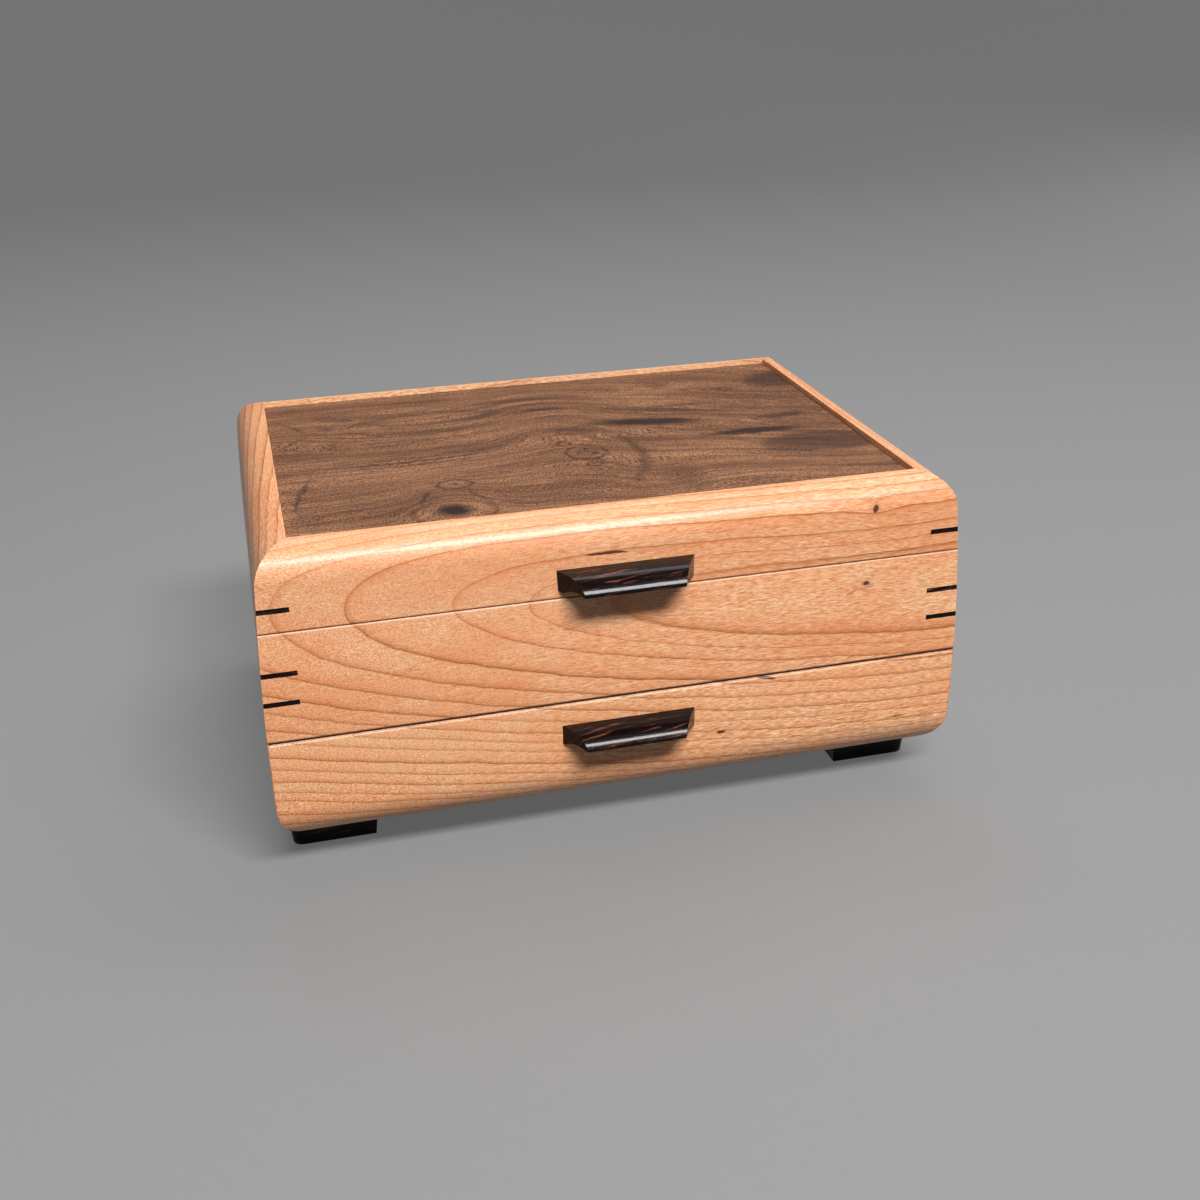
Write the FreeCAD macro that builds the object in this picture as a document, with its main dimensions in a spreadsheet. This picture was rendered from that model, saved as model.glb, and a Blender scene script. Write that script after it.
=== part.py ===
import FreeCAD, Part
import os
import Sketcher
from FreeCAD import Rotation, Vector

# A cherry box for cufflinks: a hinged lid with a walnut panel, a case whose top
# compartment is divided into small cells, and a drawer below it that is as wide as
# the box. All four faces are one gentle crown from a large round along the bottom
# edge to a smaller one along the top edge, and the boards meet in mitres that dark
# keys tie together. Millimetres; Z is up, the front faces -Y, and the origin lies on
# the surface under the feet, at the centre of the box's overall outline.

SIZES = {
    # Outer form, measured where the crowned faces are fullest
    "box_width": 336.5,
    "box_depth": 247.7,
    "body_height": 148.3,
    "board_thickness": 19.1,
    "crown_radius": 1250.0,
    "crown_rise": 45.0,
    "top_round": 16.0,
    "bottom_round": 22.0,
    # Heights of the drawer front and of the case above it, and the gaps between bands
    "drawer_band": 57.4,
    "case_band": 53.6,
    "drawer_gap": 0.9,
    "lid_gap": 0.4,
    "mitre_gap": 0.4,
    "drawer_edge_chamfer": 0.8,
    # Corner keys, their centres measured up from the seam below them
    "key_thickness": 2.4,
    "case_key_face_length": 16.1,
    "lid_key_face_length": 14.2,
    "case_key_low": 19.6,
    "case_key_high": 33.8,
    "lid_key_level": 10.4,
    # Panels held in grooves
    "groove_depth": 5.0,
    "panel_slack": 0.4,
    "bottom_thickness": 6.0,
    "bottom_lift": 6.0,
    "bottom_front_gap": 0.3,
    "floor_thickness": 5.0,
    "floor_lift": 6.0,
    "lid_panel_thickness": 7.0,
    "lid_panel_recess": 2.7,
    "tongue_thickness": 3.0,
    "panel_reveal": 0.3,
    # Felt linings and the egg-crate dividers that stand on them
    "lining_thickness": 1.5,
    "lining_slack": 0.3,
    "divider_thickness": 4.0,
    "divider_height": 34.0,
    "divider_slack": 0.2,
    "half_lap_slack": 0.1,
    # Drawer box
    "drawer_side_slack": 0.5,
    "drawer_lift": 1.0,
    "drawer_side_height": 39.0,
    "drawer_side_thickness": 12.0,
    "drawer_side_dado": 6.0,
    "drawer_back_gap": 2.5,
    "drawer_back_inset": 6.0,
    "drawer_back_dado": 4.0,
    "drawer_panel_thickness": 4.0,
    "drawer_panel_lift": 4.0,
    "drawer_divider_height": 22.0,
    "drawer_front_row": 92.0,
    # Wooden runners in the case sides
    "runner_height": 6.0,
    "runner_proud": 5.0,
    "runner_let_in": 3.0,
    "runner_rise": 18.0,
    "runner_slack": 0.3,
    "runner_front_gap": 10.0,
    "runner_back_gap": 6.0,
    # Feet
    "foot_height": 19.0,
    "foot_length": 40.5,
    "foot_depth": 40.0,
    "foot_side_inset": 5.9,
    "foot_front_inset": 33.0,
    "foot_taper": 6.0,
    "foot_corner_round": 5.0,
    "foot_scribe_rise": 12.0,
    # Pulls
    "lid_pull_length": 62.6,
    "lid_pull_lip_length": 47.2,
    "drawer_pull_length": 65.4,
    "drawer_pull_lip_length": 48.0,
    "pull_reach": 14.6,
    "pull_base_height": 9.8,
    "pull_root": 4.0,
    "pull_top_radius": 14.0,
    "pull_lip_drop": 6.2,
    "pull_lip_thickness": 1.6,
    "pull_cove_radius": 12.0,
    "pull_cove_margin": 1.0,
    "lid_pull_top": 13.6,
    "drawer_pull_top": 11.7,
    # Hinges with a built-in stop
    "hinge_inset": 62.0,
    "hinge_width": 32.0,
    "leaf_thickness": 2.0,
    "leaf_depth": 9.0,
    "barrel_radius": 2.6,
    "barrel_standoff": 2.9,
    "hinge_pin_radius": 1.25,
    "hinge_pin_slack": 0.03,
    "knuckle_length": 10.0,
    "knuckle_slack": 0.3,
    "heel_height": 4.4,
    "heel_back": 2.5,
    "tail_reach": 4.6,
    "tail_drop": 0.35,
    "stop_gap": 0.1,
    "lid_open_angle": 95.0,
    # Screws: countersunk, in clearance holes
    "drill_slack": 0.05,
    "leaf_screw_radius": 0.95,
    "leaf_screw_head": 1.9,
    "leaf_screw_length": 9.0,
    "leaf_screw_spacing": 11.0,
    "foot_screw_radius": 1.6,
    "foot_screw_head": 3.2,
    "foot_screw_recess": 7.0,
    "foot_screw_spacing": 22.0,
    "foot_screw_inset": 14.0,
    "pull_screw_radius": 1.6,
    "pull_screw_head": 3.2,
    "pull_screw_bite": 6.0,
    "pull_screw_drop": 3.6,
    "pull_screw_spacing": 36.0,
    "screw_tip_cover": 2.0,
    # Length by which cutting tools run past the surface that they cut
    "overcut": 5.0,
}

COLUMNS = 6
ROWS = 4
DRAWER_CELLS = 3

# Levels and reaches that follow from the sizes, as formulas of a second sheet.
DERIVED = {
    "half_width": "Sizes.box_width / 2",
    "half_depth": "Sizes.box_depth / 2",
    "inner_half_width": "half_width - Sizes.board_thickness",
    "inner_half_depth": "half_depth - Sizes.board_thickness",
    "underside": "Sizes.foot_height",
    "top_level": "underside + Sizes.body_height",
    "crown_level": "underside + Sizes.crown_rise",
    "seam_low": "underside + Sizes.drawer_band",
    "seam_high": "seam_low + Sizes.case_band",
    "drawer_front_top": "seam_low - Sizes.drawer_gap / 2",
    "case_front_bottom": "seam_low + Sizes.drawer_gap / 2",
    "case_rim": "seam_high - Sizes.lid_gap / 2",
    "lid_rim": "seam_high + Sizes.lid_gap / 2",
    # Moulded profile: inset of each round's centre, and where it meets the crown
    "top_centre_level": "top_level - Sizes.top_round",
    "top_centre_inset": "Sizes.crown_radius - sqrt((Sizes.crown_radius - Sizes.top_round) ^ 2"
                        " - (top_centre_level - crown_level) ^ 2)",
    "top_share": "Sizes.crown_radius / (Sizes.crown_radius - Sizes.top_round)",
    "top_tangent_inset": "Sizes.crown_radius - (Sizes.crown_radius - top_centre_inset) * top_share",
    "top_tangent_level": "crown_level + (top_centre_level - crown_level) * top_share",
    "bottom_centre_level": "underside + Sizes.bottom_round",
    "bottom_centre_inset": "Sizes.crown_radius - sqrt((Sizes.crown_radius - Sizes.bottom_round) ^ 2"
                           " - (bottom_centre_level - crown_level) ^ 2)",
    "bottom_share": "Sizes.crown_radius / (Sizes.crown_radius - Sizes.bottom_round)",
    "bottom_tangent_inset": "Sizes.crown_radius - (Sizes.crown_radius - bottom_centre_inset) * bottom_share",
    "bottom_tangent_level": "crown_level + (bottom_centre_level - crown_level) * bottom_share",
    # Panels, linings and dividers
    "bottom_level": "underside + Sizes.bottom_lift",
    "bottom_top": "bottom_level + Sizes.bottom_thickness",
    "floor_level": "case_front_bottom + Sizes.floor_lift",
    "floor_top": "floor_level + Sizes.floor_thickness",
    "divider_foot": "floor_top + Sizes.lining_thickness",
    "lid_panel_level": "top_level - Sizes.lid_panel_recess - Sizes.lid_panel_thickness",
    "panel_grip": "Sizes.groove_depth - Sizes.panel_slack",
    "column_pitch": "(2 * inner_half_width + Sizes.divider_thickness) / %d" % COLUMNS,
    "row_pitch": "(2 * inner_half_depth + Sizes.divider_thickness) / %d" % ROWS,
    "half_lap": "Sizes.divider_height / 2 + Sizes.half_lap_slack",
    # Drawer box
    "drawer_half_width": "inner_half_width - Sizes.drawer_side_slack",
    "drawer_inner_half": "drawer_half_width - Sizes.drawer_side_thickness",
    "drawer_foot": "bottom_top + Sizes.drawer_lift",
    "drawer_top": "drawer_foot + Sizes.drawer_side_height",
    "drawer_rear": "inner_half_depth - Sizes.drawer_back_gap",
    "drawer_back_outer": "drawer_rear - Sizes.drawer_back_inset",
    "drawer_back_inner": "drawer_back_outer - Sizes.drawer_side_thickness",
    "drawer_panel_level": "drawer_foot + Sizes.drawer_panel_lift",
    "drawer_panel_top": "drawer_panel_level + Sizes.drawer_panel_thickness",
    "drawer_lining_top": "drawer_panel_top + Sizes.lining_thickness",
    "drawer_cell_pitch": "(2 * drawer_inner_half + Sizes.divider_thickness) / %d" % DRAWER_CELLS,
    "runner_level": "drawer_foot + Sizes.runner_rise",
    # Pulls
    "pull_flat": "Sizes.pull_reach - sqrt(Sizes.pull_top_radius ^ 2"
                 " - (Sizes.pull_top_radius - Sizes.pull_lip_drop) ^ 2)",
    "lid_pull_splay": "(Sizes.lid_pull_length - Sizes.lid_pull_lip_length) / 2 / Sizes.pull_reach",
    "drawer_pull_splay": "(Sizes.drawer_pull_length - Sizes.drawer_pull_lip_length) / 2 / Sizes.pull_reach",
    "lid_pull_level": "seam_high + Sizes.lid_pull_top",
    "drawer_pull_level": "seam_low - Sizes.drawer_pull_top",
    # Hinges
    "hinge_x": "half_width - Sizes.hinge_inset",
    "rear_face_inset": "Sizes.crown_radius - sqrt(Sizes.crown_radius ^ 2 - (seam_high - crown_level) ^ 2)",
    "pin_y": "half_depth - rear_face_inset + Sizes.barrel_standoff",
    "half_gap": "Sizes.lid_gap / 2",
    "arm_foot": "half_gap + Sizes.leaf_thickness",
    "barrel_at_gap": "sqrt(Sizes.barrel_radius ^ 2 - half_gap ^ 2)",
    "barrel_at_arm": "sqrt(Sizes.barrel_radius ^ 2 - arm_foot ^ 2)",
    "barrel_at_tail": "sqrt(Sizes.barrel_radius ^ 2 - Sizes.tail_drop ^ 2)",
    "stop_level": "Sizes.tail_drop - Sizes.stop_gap",
    "stop_at_barrel": "sqrt(Sizes.barrel_radius ^ 2 - stop_level ^ 2)",
    "stop_at_tip": "(Sizes.heel_height - stop_level * cos(Sizes.lid_open_angle)) / sin(Sizes.lid_open_angle)",
    "screw_row": "Sizes.barrel_standoff + Sizes.leaf_depth / 2",
    # Feet
    "foot_blank_top": "underside + Sizes.foot_scribe_rise",
    # Screws
    "foot_screw_length": "bottom_top - Sizes.screw_tip_cover - Sizes.foot_screw_recess",
    "pull_screw_length": "Sizes.board_thickness + Sizes.pull_screw_bite",
    "foot_x": "half_width - Sizes.foot_side_inset - Sizes.foot_length / 2",
    "foot_y": "half_depth - Sizes.foot_front_inset - Sizes.foot_depth / 2",
    "foot_screw_x": "half_width - Sizes.foot_side_inset - Sizes.foot_length + Sizes.foot_screw_inset",
    # The box's centre stands back from the origin, which the pulls and hinges share
    "front_reach": "half_depth + Sizes.pull_reach",
    "rear_reach": "pin_y + Sizes.tail_reach",
    "centre_y": "(front_reach - rear_reach) / 2",
}

DOC = FreeCAD.newDocument("CufflinkBox")
PIECES = []
POCKETS = []


# ---------------------------------------------------------------- sheets and sketches

def fill_sheets():
    """Write the driving sizes as plain numbers and the derived values as formulas."""
    sizes = DOC.addObject("Spreadsheet::Sheet", "Sizes")
    for row, (alias, value) in enumerate(SIZES.items(), start=1):
        sizes.set("A%d" % row, str(value))
        sizes.setAlias("A%d" % row, alias)
    derived = DOC.addObject("Spreadsheet::Sheet", "Derived")
    for row, (alias, formula) in enumerate(DERIVED.items(), start=1):
        derived.set("A%d" % row, "=" + formula)
        derived.setAlias("A%d" % row, alias)
    DOC.recompute()


def bind(thing, **expressions):
    """Bind properties to expressions; a double underscore stands for a dot."""
    for path, expression in expressions.items():
        thing.setExpression(path.replace("__", "."), expression)


def new_body(name):
    return DOC.addObject("PartDesign::Body", name)


def new_sketch(body, suffix, plane, offset="0"):
    """Add a sketch on one of the body's own origin planes, offset along its normal."""
    sketch = body.newObject("Sketcher::SketchObject", body.Name + "_" + suffix)
    support = [item for item in body.Origin.OriginFeatures if item.Role == plane][0]
    sketch.AttachmentSupport = [(support, "")]
    sketch.MapMode = "FlatFace"
    bind(sketch, AttachmentOffset__Base__z=offset)
    return sketch


def constrain(sketch, kind, geometry, expression, *point):
    """Add a dimension that an expression drives."""
    value = float(sketch.evalExpression(expression))
    if kind == "Radius":
        constraint = Sketcher.Constraint(kind, geometry, value)
    else:
        constraint = Sketcher.Constraint(kind, -1, 1, geometry, point[0], value)
    index = sketch.addConstraint(constraint)
    sketch.setExpression("Constraints[%d]" % index, expression)


def arc_between(start, end, radius, turn, major):
    """Return the arc from start to end, turning left (1) or right (-1)."""
    chord = end - start
    middle = (start + end) * 0.5
    rise = max(radius ** 2 - chord.Length ** 2 / 4, 0) ** 0.5
    side = -turn if major else turn
    normal = Vector(-chord.y, chord.x, 0).normalize()
    centre = middle + normal * (rise * side)
    first, last = (start, end) if turn > 0 else (end, start)
    angles = [Vector(1, 0, 0).getAngle(point - centre) for point in (first, last)]
    for index, point in enumerate((first, last)):
        if point.y < centre.y:
            angles[index] = -angles[index]
    return Part.ArcOfCircle(Part.Circle(centre, Vector(0, 0, 1), radius), *angles)


def draw_outline(sketch, corners):
    """Draw a closed outline. A corner is (x, y), or (x, y, radius, turn[, "major"])
    where an arc leads to the next corner; x, y and radius are expressions."""
    base = sketch.GeometryCount
    points = [Vector(float(sketch.evalExpression(corner[0])),
                     float(sketch.evalExpression(corner[1])), 0) for corner in corners]
    ends = []
    for index, corner in enumerate(corners):
        start = points[index]
        end = points[(index + 1) % len(points)]
        if len(corner) == 2:
            sketch.addGeometry(Part.LineSegment(start, end))
            ends.append((1, 2))
            continue
        radius = float(sketch.evalExpression(corner[2]))
        sketch.addGeometry(arc_between(start, end, radius, corner[3], len(corner) > 4))
        ends.append((1, 2) if corner[3] > 0 else (2, 1))
    for index, corner in enumerate(corners):
        edge = base + index
        previous = base + (index - 1) % len(corners)
        joint = (previous, ends[index - 1][1], edge, ends[index][0])
        sketch.addConstraint(Sketcher.Constraint("Coincident", *joint))
        constrain(sketch, "DistanceX", edge, corner[0], ends[index][0])
        constrain(sketch, "DistanceY", edge, corner[1], ends[index][0])
        if len(corner) > 2:
            constrain(sketch, "Radius", edge, corner[2])


def draw_rectangle(sketch, left, bottom, right, top):
    draw_outline(sketch, [(left, bottom), (right, bottom), (right, top), (left, top)])


def draw_circle(sketch, x, y, radius):
    centre = Vector(float(sketch.evalExpression(x)), float(sketch.evalExpression(y)), 0)
    circle = Part.Circle(centre, Vector(0, 0, 1), float(sketch.evalExpression(radius)))
    index = sketch.addGeometry(circle)
    # A circle's third point is its centre
    constrain(sketch, "DistanceX", index, x, 3)
    constrain(sketch, "DistanceY", index, y, 3)
    constrain(sketch, "Radius", index, radius)


# ------------------------------------------------------------------ features and pieces

def pad(body, sketch, length, symmetric=False):
    feature = body.newObject("PartDesign::Pad", sketch.Name + "_pad")
    feature.Profile = sketch
    feature.SideType = "Symmetric" if symmetric else "One side"
    bind(feature, Length=length)
    return feature


def pocket(body, sketch, length=None):
    """Cut a sketch symmetrically about its plane, through everything or for a length."""
    before = body.Tip
    feature = body.newObject("PartDesign::Pocket", sketch.Name + "_pocket")
    feature.Profile = sketch
    feature.SideType = "Symmetric"
    if length is None:
        feature.Type = "ThroughAll"
    else:
        bind(feature, Length=length)
    POCKETS.append((before, feature))
    return feature


def box(name, low, high):
    """Return a Part::Box between two corners given as expressions."""
    block = DOC.addObject("Part::Box", name)
    bind(block, Placement__Base__x=low[0], Placement__Base__y=low[1], Placement__Base__z=low[2],
         Length="(%s) - (%s)" % (high[0], low[0]), Width="(%s) - (%s)" % (high[1], low[1]),
         Height="(%s) - (%s)" % (high[2], low[2]))
    return block


def compound(name, members):
    group = DOC.addObject("Part::Compound", name)
    group.Links = members
    return group


def cut(name, base, tools):
    result = DOC.addObject("Part::Cut", name)
    result.Base = base
    result.Tool = tools[0] if len(tools) == 1 else compound(name + "_tools", tools)
    return result


def common(name, shapes):
    result = DOC.addObject("Part::MultiCommon", name)
    result.Shapes = shapes
    return result


def turned(thing, angle):
    """Turn a body about the box's vertical centre line."""
    thing.Placement.Rotation = Rotation(Vector(0, 0, 1), angle)
    return thing


def keep(thing, name):
    """Name a finished piece and move it to its place about the origin."""
    thing.Label = name
    own_place = dict(thing.ExpressionEngine).get(".Placement.Base.y", "0")
    bind(thing, Placement__Base__y="%s + Derived.centre_y" % own_place)
    PIECES.append(thing)
    return thing


# -------------------------------------------------------------- outer form of the box

def moulding(name, plane, reach, length):
    """Make the crowned and rounded section of the whole box and run it lengthwise."""
    body = new_body(name)
    section = new_sketch(body, "section", plane)
    foot = "%s - Derived.bottom_centre_inset" % reach
    low = "%s - Derived.bottom_tangent_inset" % reach
    high = "%s - Derived.top_tangent_inset" % reach
    brow = "%s - Derived.top_centre_inset" % reach
    draw_outline(section, [
        (foot, "Derived.underside", "Sizes.bottom_round", 1),
        (low, "Derived.bottom_tangent_level", "Sizes.crown_radius", 1),
        (high, "Derived.top_tangent_level", "Sizes.top_round", 1),
        (brow, "Derived.top_level"),
        ("-(%s)" % brow, "Derived.top_level", "Sizes.top_round", 1),
        ("-(%s)" % high, "Derived.top_tangent_level", "Sizes.crown_radius", 1),
        ("-(%s)" % low, "Derived.bottom_tangent_level", "Sizes.bottom_round", 1),
        ("-(%s)" % foot, "Derived.underside"),
    ])
    pad(body, section, "%s + 2 * Sizes.overcut" % length, symmetric=True)
    return body


def board_blank(name, half_length, reach, low, high, grooves, end_gap="0"):
    """Make a mitred board that faces -Y, with grooves along its inner face.

    Each groove is a pair of levels. The board still has a flat outer face.
    """
    body = new_body(name)
    plan = new_sketch(body, "plan", "XY_Plane", low)
    outer = "%s - %s" % (half_length, end_gap)
    inner = "%s - Sizes.board_thickness" % outer
    face = "-%s" % reach
    back = "Sizes.board_thickness - %s" % reach
    draw_outline(plan, [("-(%s)" % outer, face), (outer, face), (inner, back), ("-(%s)" % inner, back)])
    pad(body, plan, "%s - %s" % (high, low))
    for index, (groove_low, groove_high) in enumerate(grooves):
        groove = new_sketch(body, "groove_%d" % index, "YZ_Plane")
        draw_rectangle(groove, "%s - Sizes.groove_depth" % back, groove_low,
                       "%s + Sizes.overcut" % back, groove_high)
        pocket(body, groove)
    return body


BOTTOM_GROOVE = ("Derived.bottom_level", "Derived.bottom_top")
FLOOR_GROOVE = ("Derived.floor_level", "Derived.floor_top")
LID_GROOVE = ("Derived.lid_panel_level", "Derived.lid_panel_level + Sizes.tongue_thickness")
SIDES = {"left": -1, "right": 1}
ENDS = {"front": -1, "back": 1}


# ----------------------------------------------------------------------------- joinery

def key_blank(name, owner, side, end, centre):
    """Make the flat triangle that a saw kerf across one corner leaves."""
    body = new_body(name)
    plan = new_sketch(body, "plan", "XY_Plane", "%s - Sizes.key_thickness / 2" % centre)
    inset = "(Sizes.crown_radius - sqrt(Sizes.crown_radius ^ 2 - (%s - Derived.crown_level) ^ 2))" % centre
    leg = "(Sizes.%s_key_face_length + 2 * %s)" % (owner, inset)
    x, y = "%d * Derived.half_width" % side, "%d * Derived.half_depth" % end
    along_x = ("%s - %d * %s" % (x, side, leg), y)
    along_y = (x, "%s - %d * %s" % (y, end, leg))
    corners = [(x, y), along_y, along_x] if side * end > 0 else [(x, y), along_x, along_y]
    draw_outline(plan, corners)
    pad(body, plan, "Sizes.key_thickness")
    return body


def make_keys(mouldings):
    """Make the corner keys, flush with both faces, and return their kerfs by corner."""
    levels = {"case": ("Derived.seam_low + Sizes.case_key_low", "Derived.seam_low + Sizes.case_key_high"),
              "lid": ("Derived.seam_high + Sizes.lid_key_level",)}
    kerfs = {}
    for end_name, end in ENDS.items():
        for side_name, side in SIDES.items():
            corner = "%s_%s" % (end_name, side_name)
            for owner, centres in levels.items():
                blanks = [key_blank("%s_kerf_%s_%d" % (owner, corner, index), owner, side, end, "(%s)" % centre)
                          for index, centre in enumerate(centres)]
                kerfs[owner, end_name, side_name] = blanks
                keys = [common(blank.Name + "_key", [blank] + mouldings) for blank in blanks]
                if owner == "case":
                    keep(compound("case_keys_" + corner, keys), "case_keys_" + corner)
                else:
                    keep(keys[0], "lid_key_" + corner)
    return kerfs


def screw(name, place, turn, kind, length, slack="0", access="0"):
    """Make a countersunk screw whose head faces the local -Z, or, with slack and
    access, the drill of its hole."""
    head_radius = "Sizes.%s_head + %s" % (kind, slack)
    shank_radius = "Sizes.%s_radius + %s" % (kind, slack)
    sink = "(Sizes.%s_head - Sizes.%s_radius)" % (kind, kind)
    head = DOC.addObject("Part::Cone", name + "_head")
    bind(head, Radius1=head_radius, Radius2=shank_radius, Height=sink)
    shank = DOC.addObject("Part::Cylinder", name + "_shank")
    bind(shank, Radius=shank_radius, Height="%s + %s - %s" % (length, slack, sink), Placement__Base__z=sink)
    parts = [head, shank]
    if access != "0":
        bore = DOC.addObject("Part::Cylinder", name + "_access")
        bind(bore, Radius=head_radius, Height=access, Placement__Base__z="-(%s)" % access)
        parts.append(bore)
    fuse = DOC.addObject("Part::MultiFuse", name)
    fuse.Shapes = parts
    fuse.Placement.Rotation = turn
    bind(fuse, Placement__Base__x=place[0], Placement__Base__y=place[1], Placement__Base__z=place[2])
    return fuse


def screw_set(name, places, turn, kind, length, access):
    """Make a group of equal screws as one piece and return the drills of their holes."""
    screws = [screw("%s_%d" % (name, index), place, turn, kind, length)
              for index, place in enumerate(places)]
    drills = [screw("%s_drill_%d" % (name, index), place, turn, kind, length, "Sizes.drill_slack", access)
              for index, place in enumerate(places)]
    keep(compound(name, screws), name)
    return drills


HEAD_DOWN = Rotation()
HEAD_UP = Rotation(Vector(1, 0, 0), 180)
HEAD_REARWARD = Rotation(Vector(1, 0, 0), 90)


# ------------------------------------------------------------------------------ hinges

def hinge_leaf_blank(name, outline, owner, side):
    """Make the flat leaf that is let into a board, with its knuckles on the pin's line."""
    body = new_body(name)
    plate = new_sketch(body, "plate", "YZ_Plane")
    low, high = ("-Derived.arm_foot", "-Derived.half_gap") if owner == "case" else \
                ("Derived.half_gap", "Derived.arm_foot")
    draw_rectangle(plate, "-(Sizes.barrel_standoff + Sizes.leaf_depth)", low,
                   "-Sizes.barrel_standoff", high)
    pad(body, plate, "Sizes.hinge_width", symmetric=True)
    knuckle = new_sketch(body, "knuckle", "YZ_Plane")
    draw_outline(knuckle, outline)
    if owner == "case":
        pad(body, knuckle, "Sizes.hinge_width", symmetric=True)
        gap = new_sketch(body, "gap", "XY_Plane")
        half_gap = "Sizes.knuckle_length / 2 + Sizes.knuckle_slack"
        draw_rectangle(gap, "-(%s)" % half_gap, "-Sizes.barrel_standoff", half_gap, "Sizes.barrel_standoff")
        pocket(body, gap)
    else:
        pad(body, knuckle, "Sizes.knuckle_length", symmetric=True)
    bore = new_sketch(body, "bore", "YZ_Plane")
    draw_circle(bore, "0", "0", "Sizes.hinge_pin_radius + Sizes.hinge_pin_slack")
    pocket(body, bore)
    bind(body, Placement__Base__x="%d * Derived.hinge_x" % side, Placement__Base__y="Derived.pin_y",
         Placement__Base__z="Derived.seam_high")
    return body


CASE_KNUCKLE = [
    ("-Sizes.barrel_standoff", "-Derived.arm_foot"),
    ("-Derived.barrel_at_arm", "-Derived.arm_foot", "Sizes.barrel_radius", 1),
    ("0", "-Sizes.barrel_radius"),
    ("Sizes.tail_reach", "-Sizes.barrel_radius"),
    ("Sizes.tail_reach", "-Sizes.tail_drop"),
    ("Derived.barrel_at_tail", "-Sizes.tail_drop", "Sizes.barrel_radius", 1),
    ("-Derived.barrel_at_gap", "-Derived.half_gap"),
    ("-Sizes.barrel_standoff", "-Derived.half_gap"),
]


def stop_face(along):
    """Return the closed-lid position of a point on the heel's stop face, which lies
    level, just above the case leaf's tail, once the lid is open."""
    return ("%s * cos(Sizes.lid_open_angle) + Derived.stop_level * sin(Sizes.lid_open_angle)" % along,
            "%s * sin(Sizes.lid_open_angle) - Derived.stop_level * cos(Sizes.lid_open_angle)" % along)


LID_KNUCKLE = [
    ("-Sizes.barrel_standoff", "Derived.half_gap"),
    ("-Derived.barrel_at_gap", "Derived.half_gap", "Sizes.barrel_radius", 1, "major"),
    stop_face("Derived.stop_at_barrel"),
    stop_face("Derived.stop_at_tip"),
    ("-Sizes.heel_back", "Sizes.heel_height"),
    ("-Sizes.heel_back", "Derived.arm_foot"),
    ("-Sizes.barrel_standoff", "Derived.arm_foot"),
]


def leaf_screw_places(level):
    return [("%d * Derived.hinge_x + %d * Sizes.leaf_screw_spacing" % (side, step),
             "Derived.pin_y - Derived.screw_row", level)
            for side in SIDES.values() for step in (-1, 0, 1)]


def make_hinges():
    """Make both hinges; return the tools that let their leaves into the back boards."""
    case_drills = screw_set("hinge_screws_case", leaf_screw_places("Derived.case_rim"), HEAD_UP,
                            "leaf_screw", "Sizes.leaf_screw_length", "Sizes.overcut")
    lid_drills = screw_set("hinge_screws_lid", leaf_screw_places("Derived.lid_rim"), HEAD_DOWN,
                           "leaf_screw", "Sizes.leaf_screw_length", "Sizes.overcut")
    case_mortises, lid_mortises = [], []
    inner = "Derived.pin_y - Sizes.barrel_standoff - Sizes.leaf_depth"
    outer = "Derived.half_depth + Sizes.overcut"
    for name, side in SIDES.items():
        blank = hinge_leaf_blank("hinge_blank_case_" + name, CASE_KNUCKLE, "case", side)
        keep(cut("hinge_leaf_case_" + name, blank, case_drills), "hinge_leaf_case_" + name)
        blank = hinge_leaf_blank("hinge_blank_lid_" + name, LID_KNUCKLE, "lid", side)
        keep(cut("hinge_leaf_lid_" + name, blank, lid_drills), "hinge_leaf_lid_" + name)
        pin = new_body("hinge_pin_" + name)
        section = new_sketch(pin, "section", "YZ_Plane")
        draw_circle(section, "0", "0", "Sizes.hinge_pin_radius")
        pad(pin, section, "Sizes.hinge_width", symmetric=True)
        bind(pin, Placement__Base__x="%d * Derived.hinge_x" % side, Placement__Base__y="Derived.pin_y",
             Placement__Base__z="Derived.seam_high")
        keep(pin, "hinge_pin_" + name)
        left = "%d * Derived.hinge_x - Sizes.hinge_width / 2" % side
        right = "%d * Derived.hinge_x + Sizes.hinge_width / 2" % side
        case_mortises.append(box("case_mortise_" + name,
                                 (left, inner, "Derived.case_rim - Sizes.leaf_thickness"),
                                 (right, outer, "Derived.case_rim + Sizes.overcut")))
        lid_mortises.append(box("lid_mortise_" + name,
                                (left, inner, "Derived.lid_rim - Sizes.overcut"),
                                (right, outer, "Derived.lid_rim + Sizes.leaf_thickness")))
    return case_mortises + case_drills, lid_mortises + lid_drills


# ------------------------------------------------------------------------------- pulls

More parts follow.
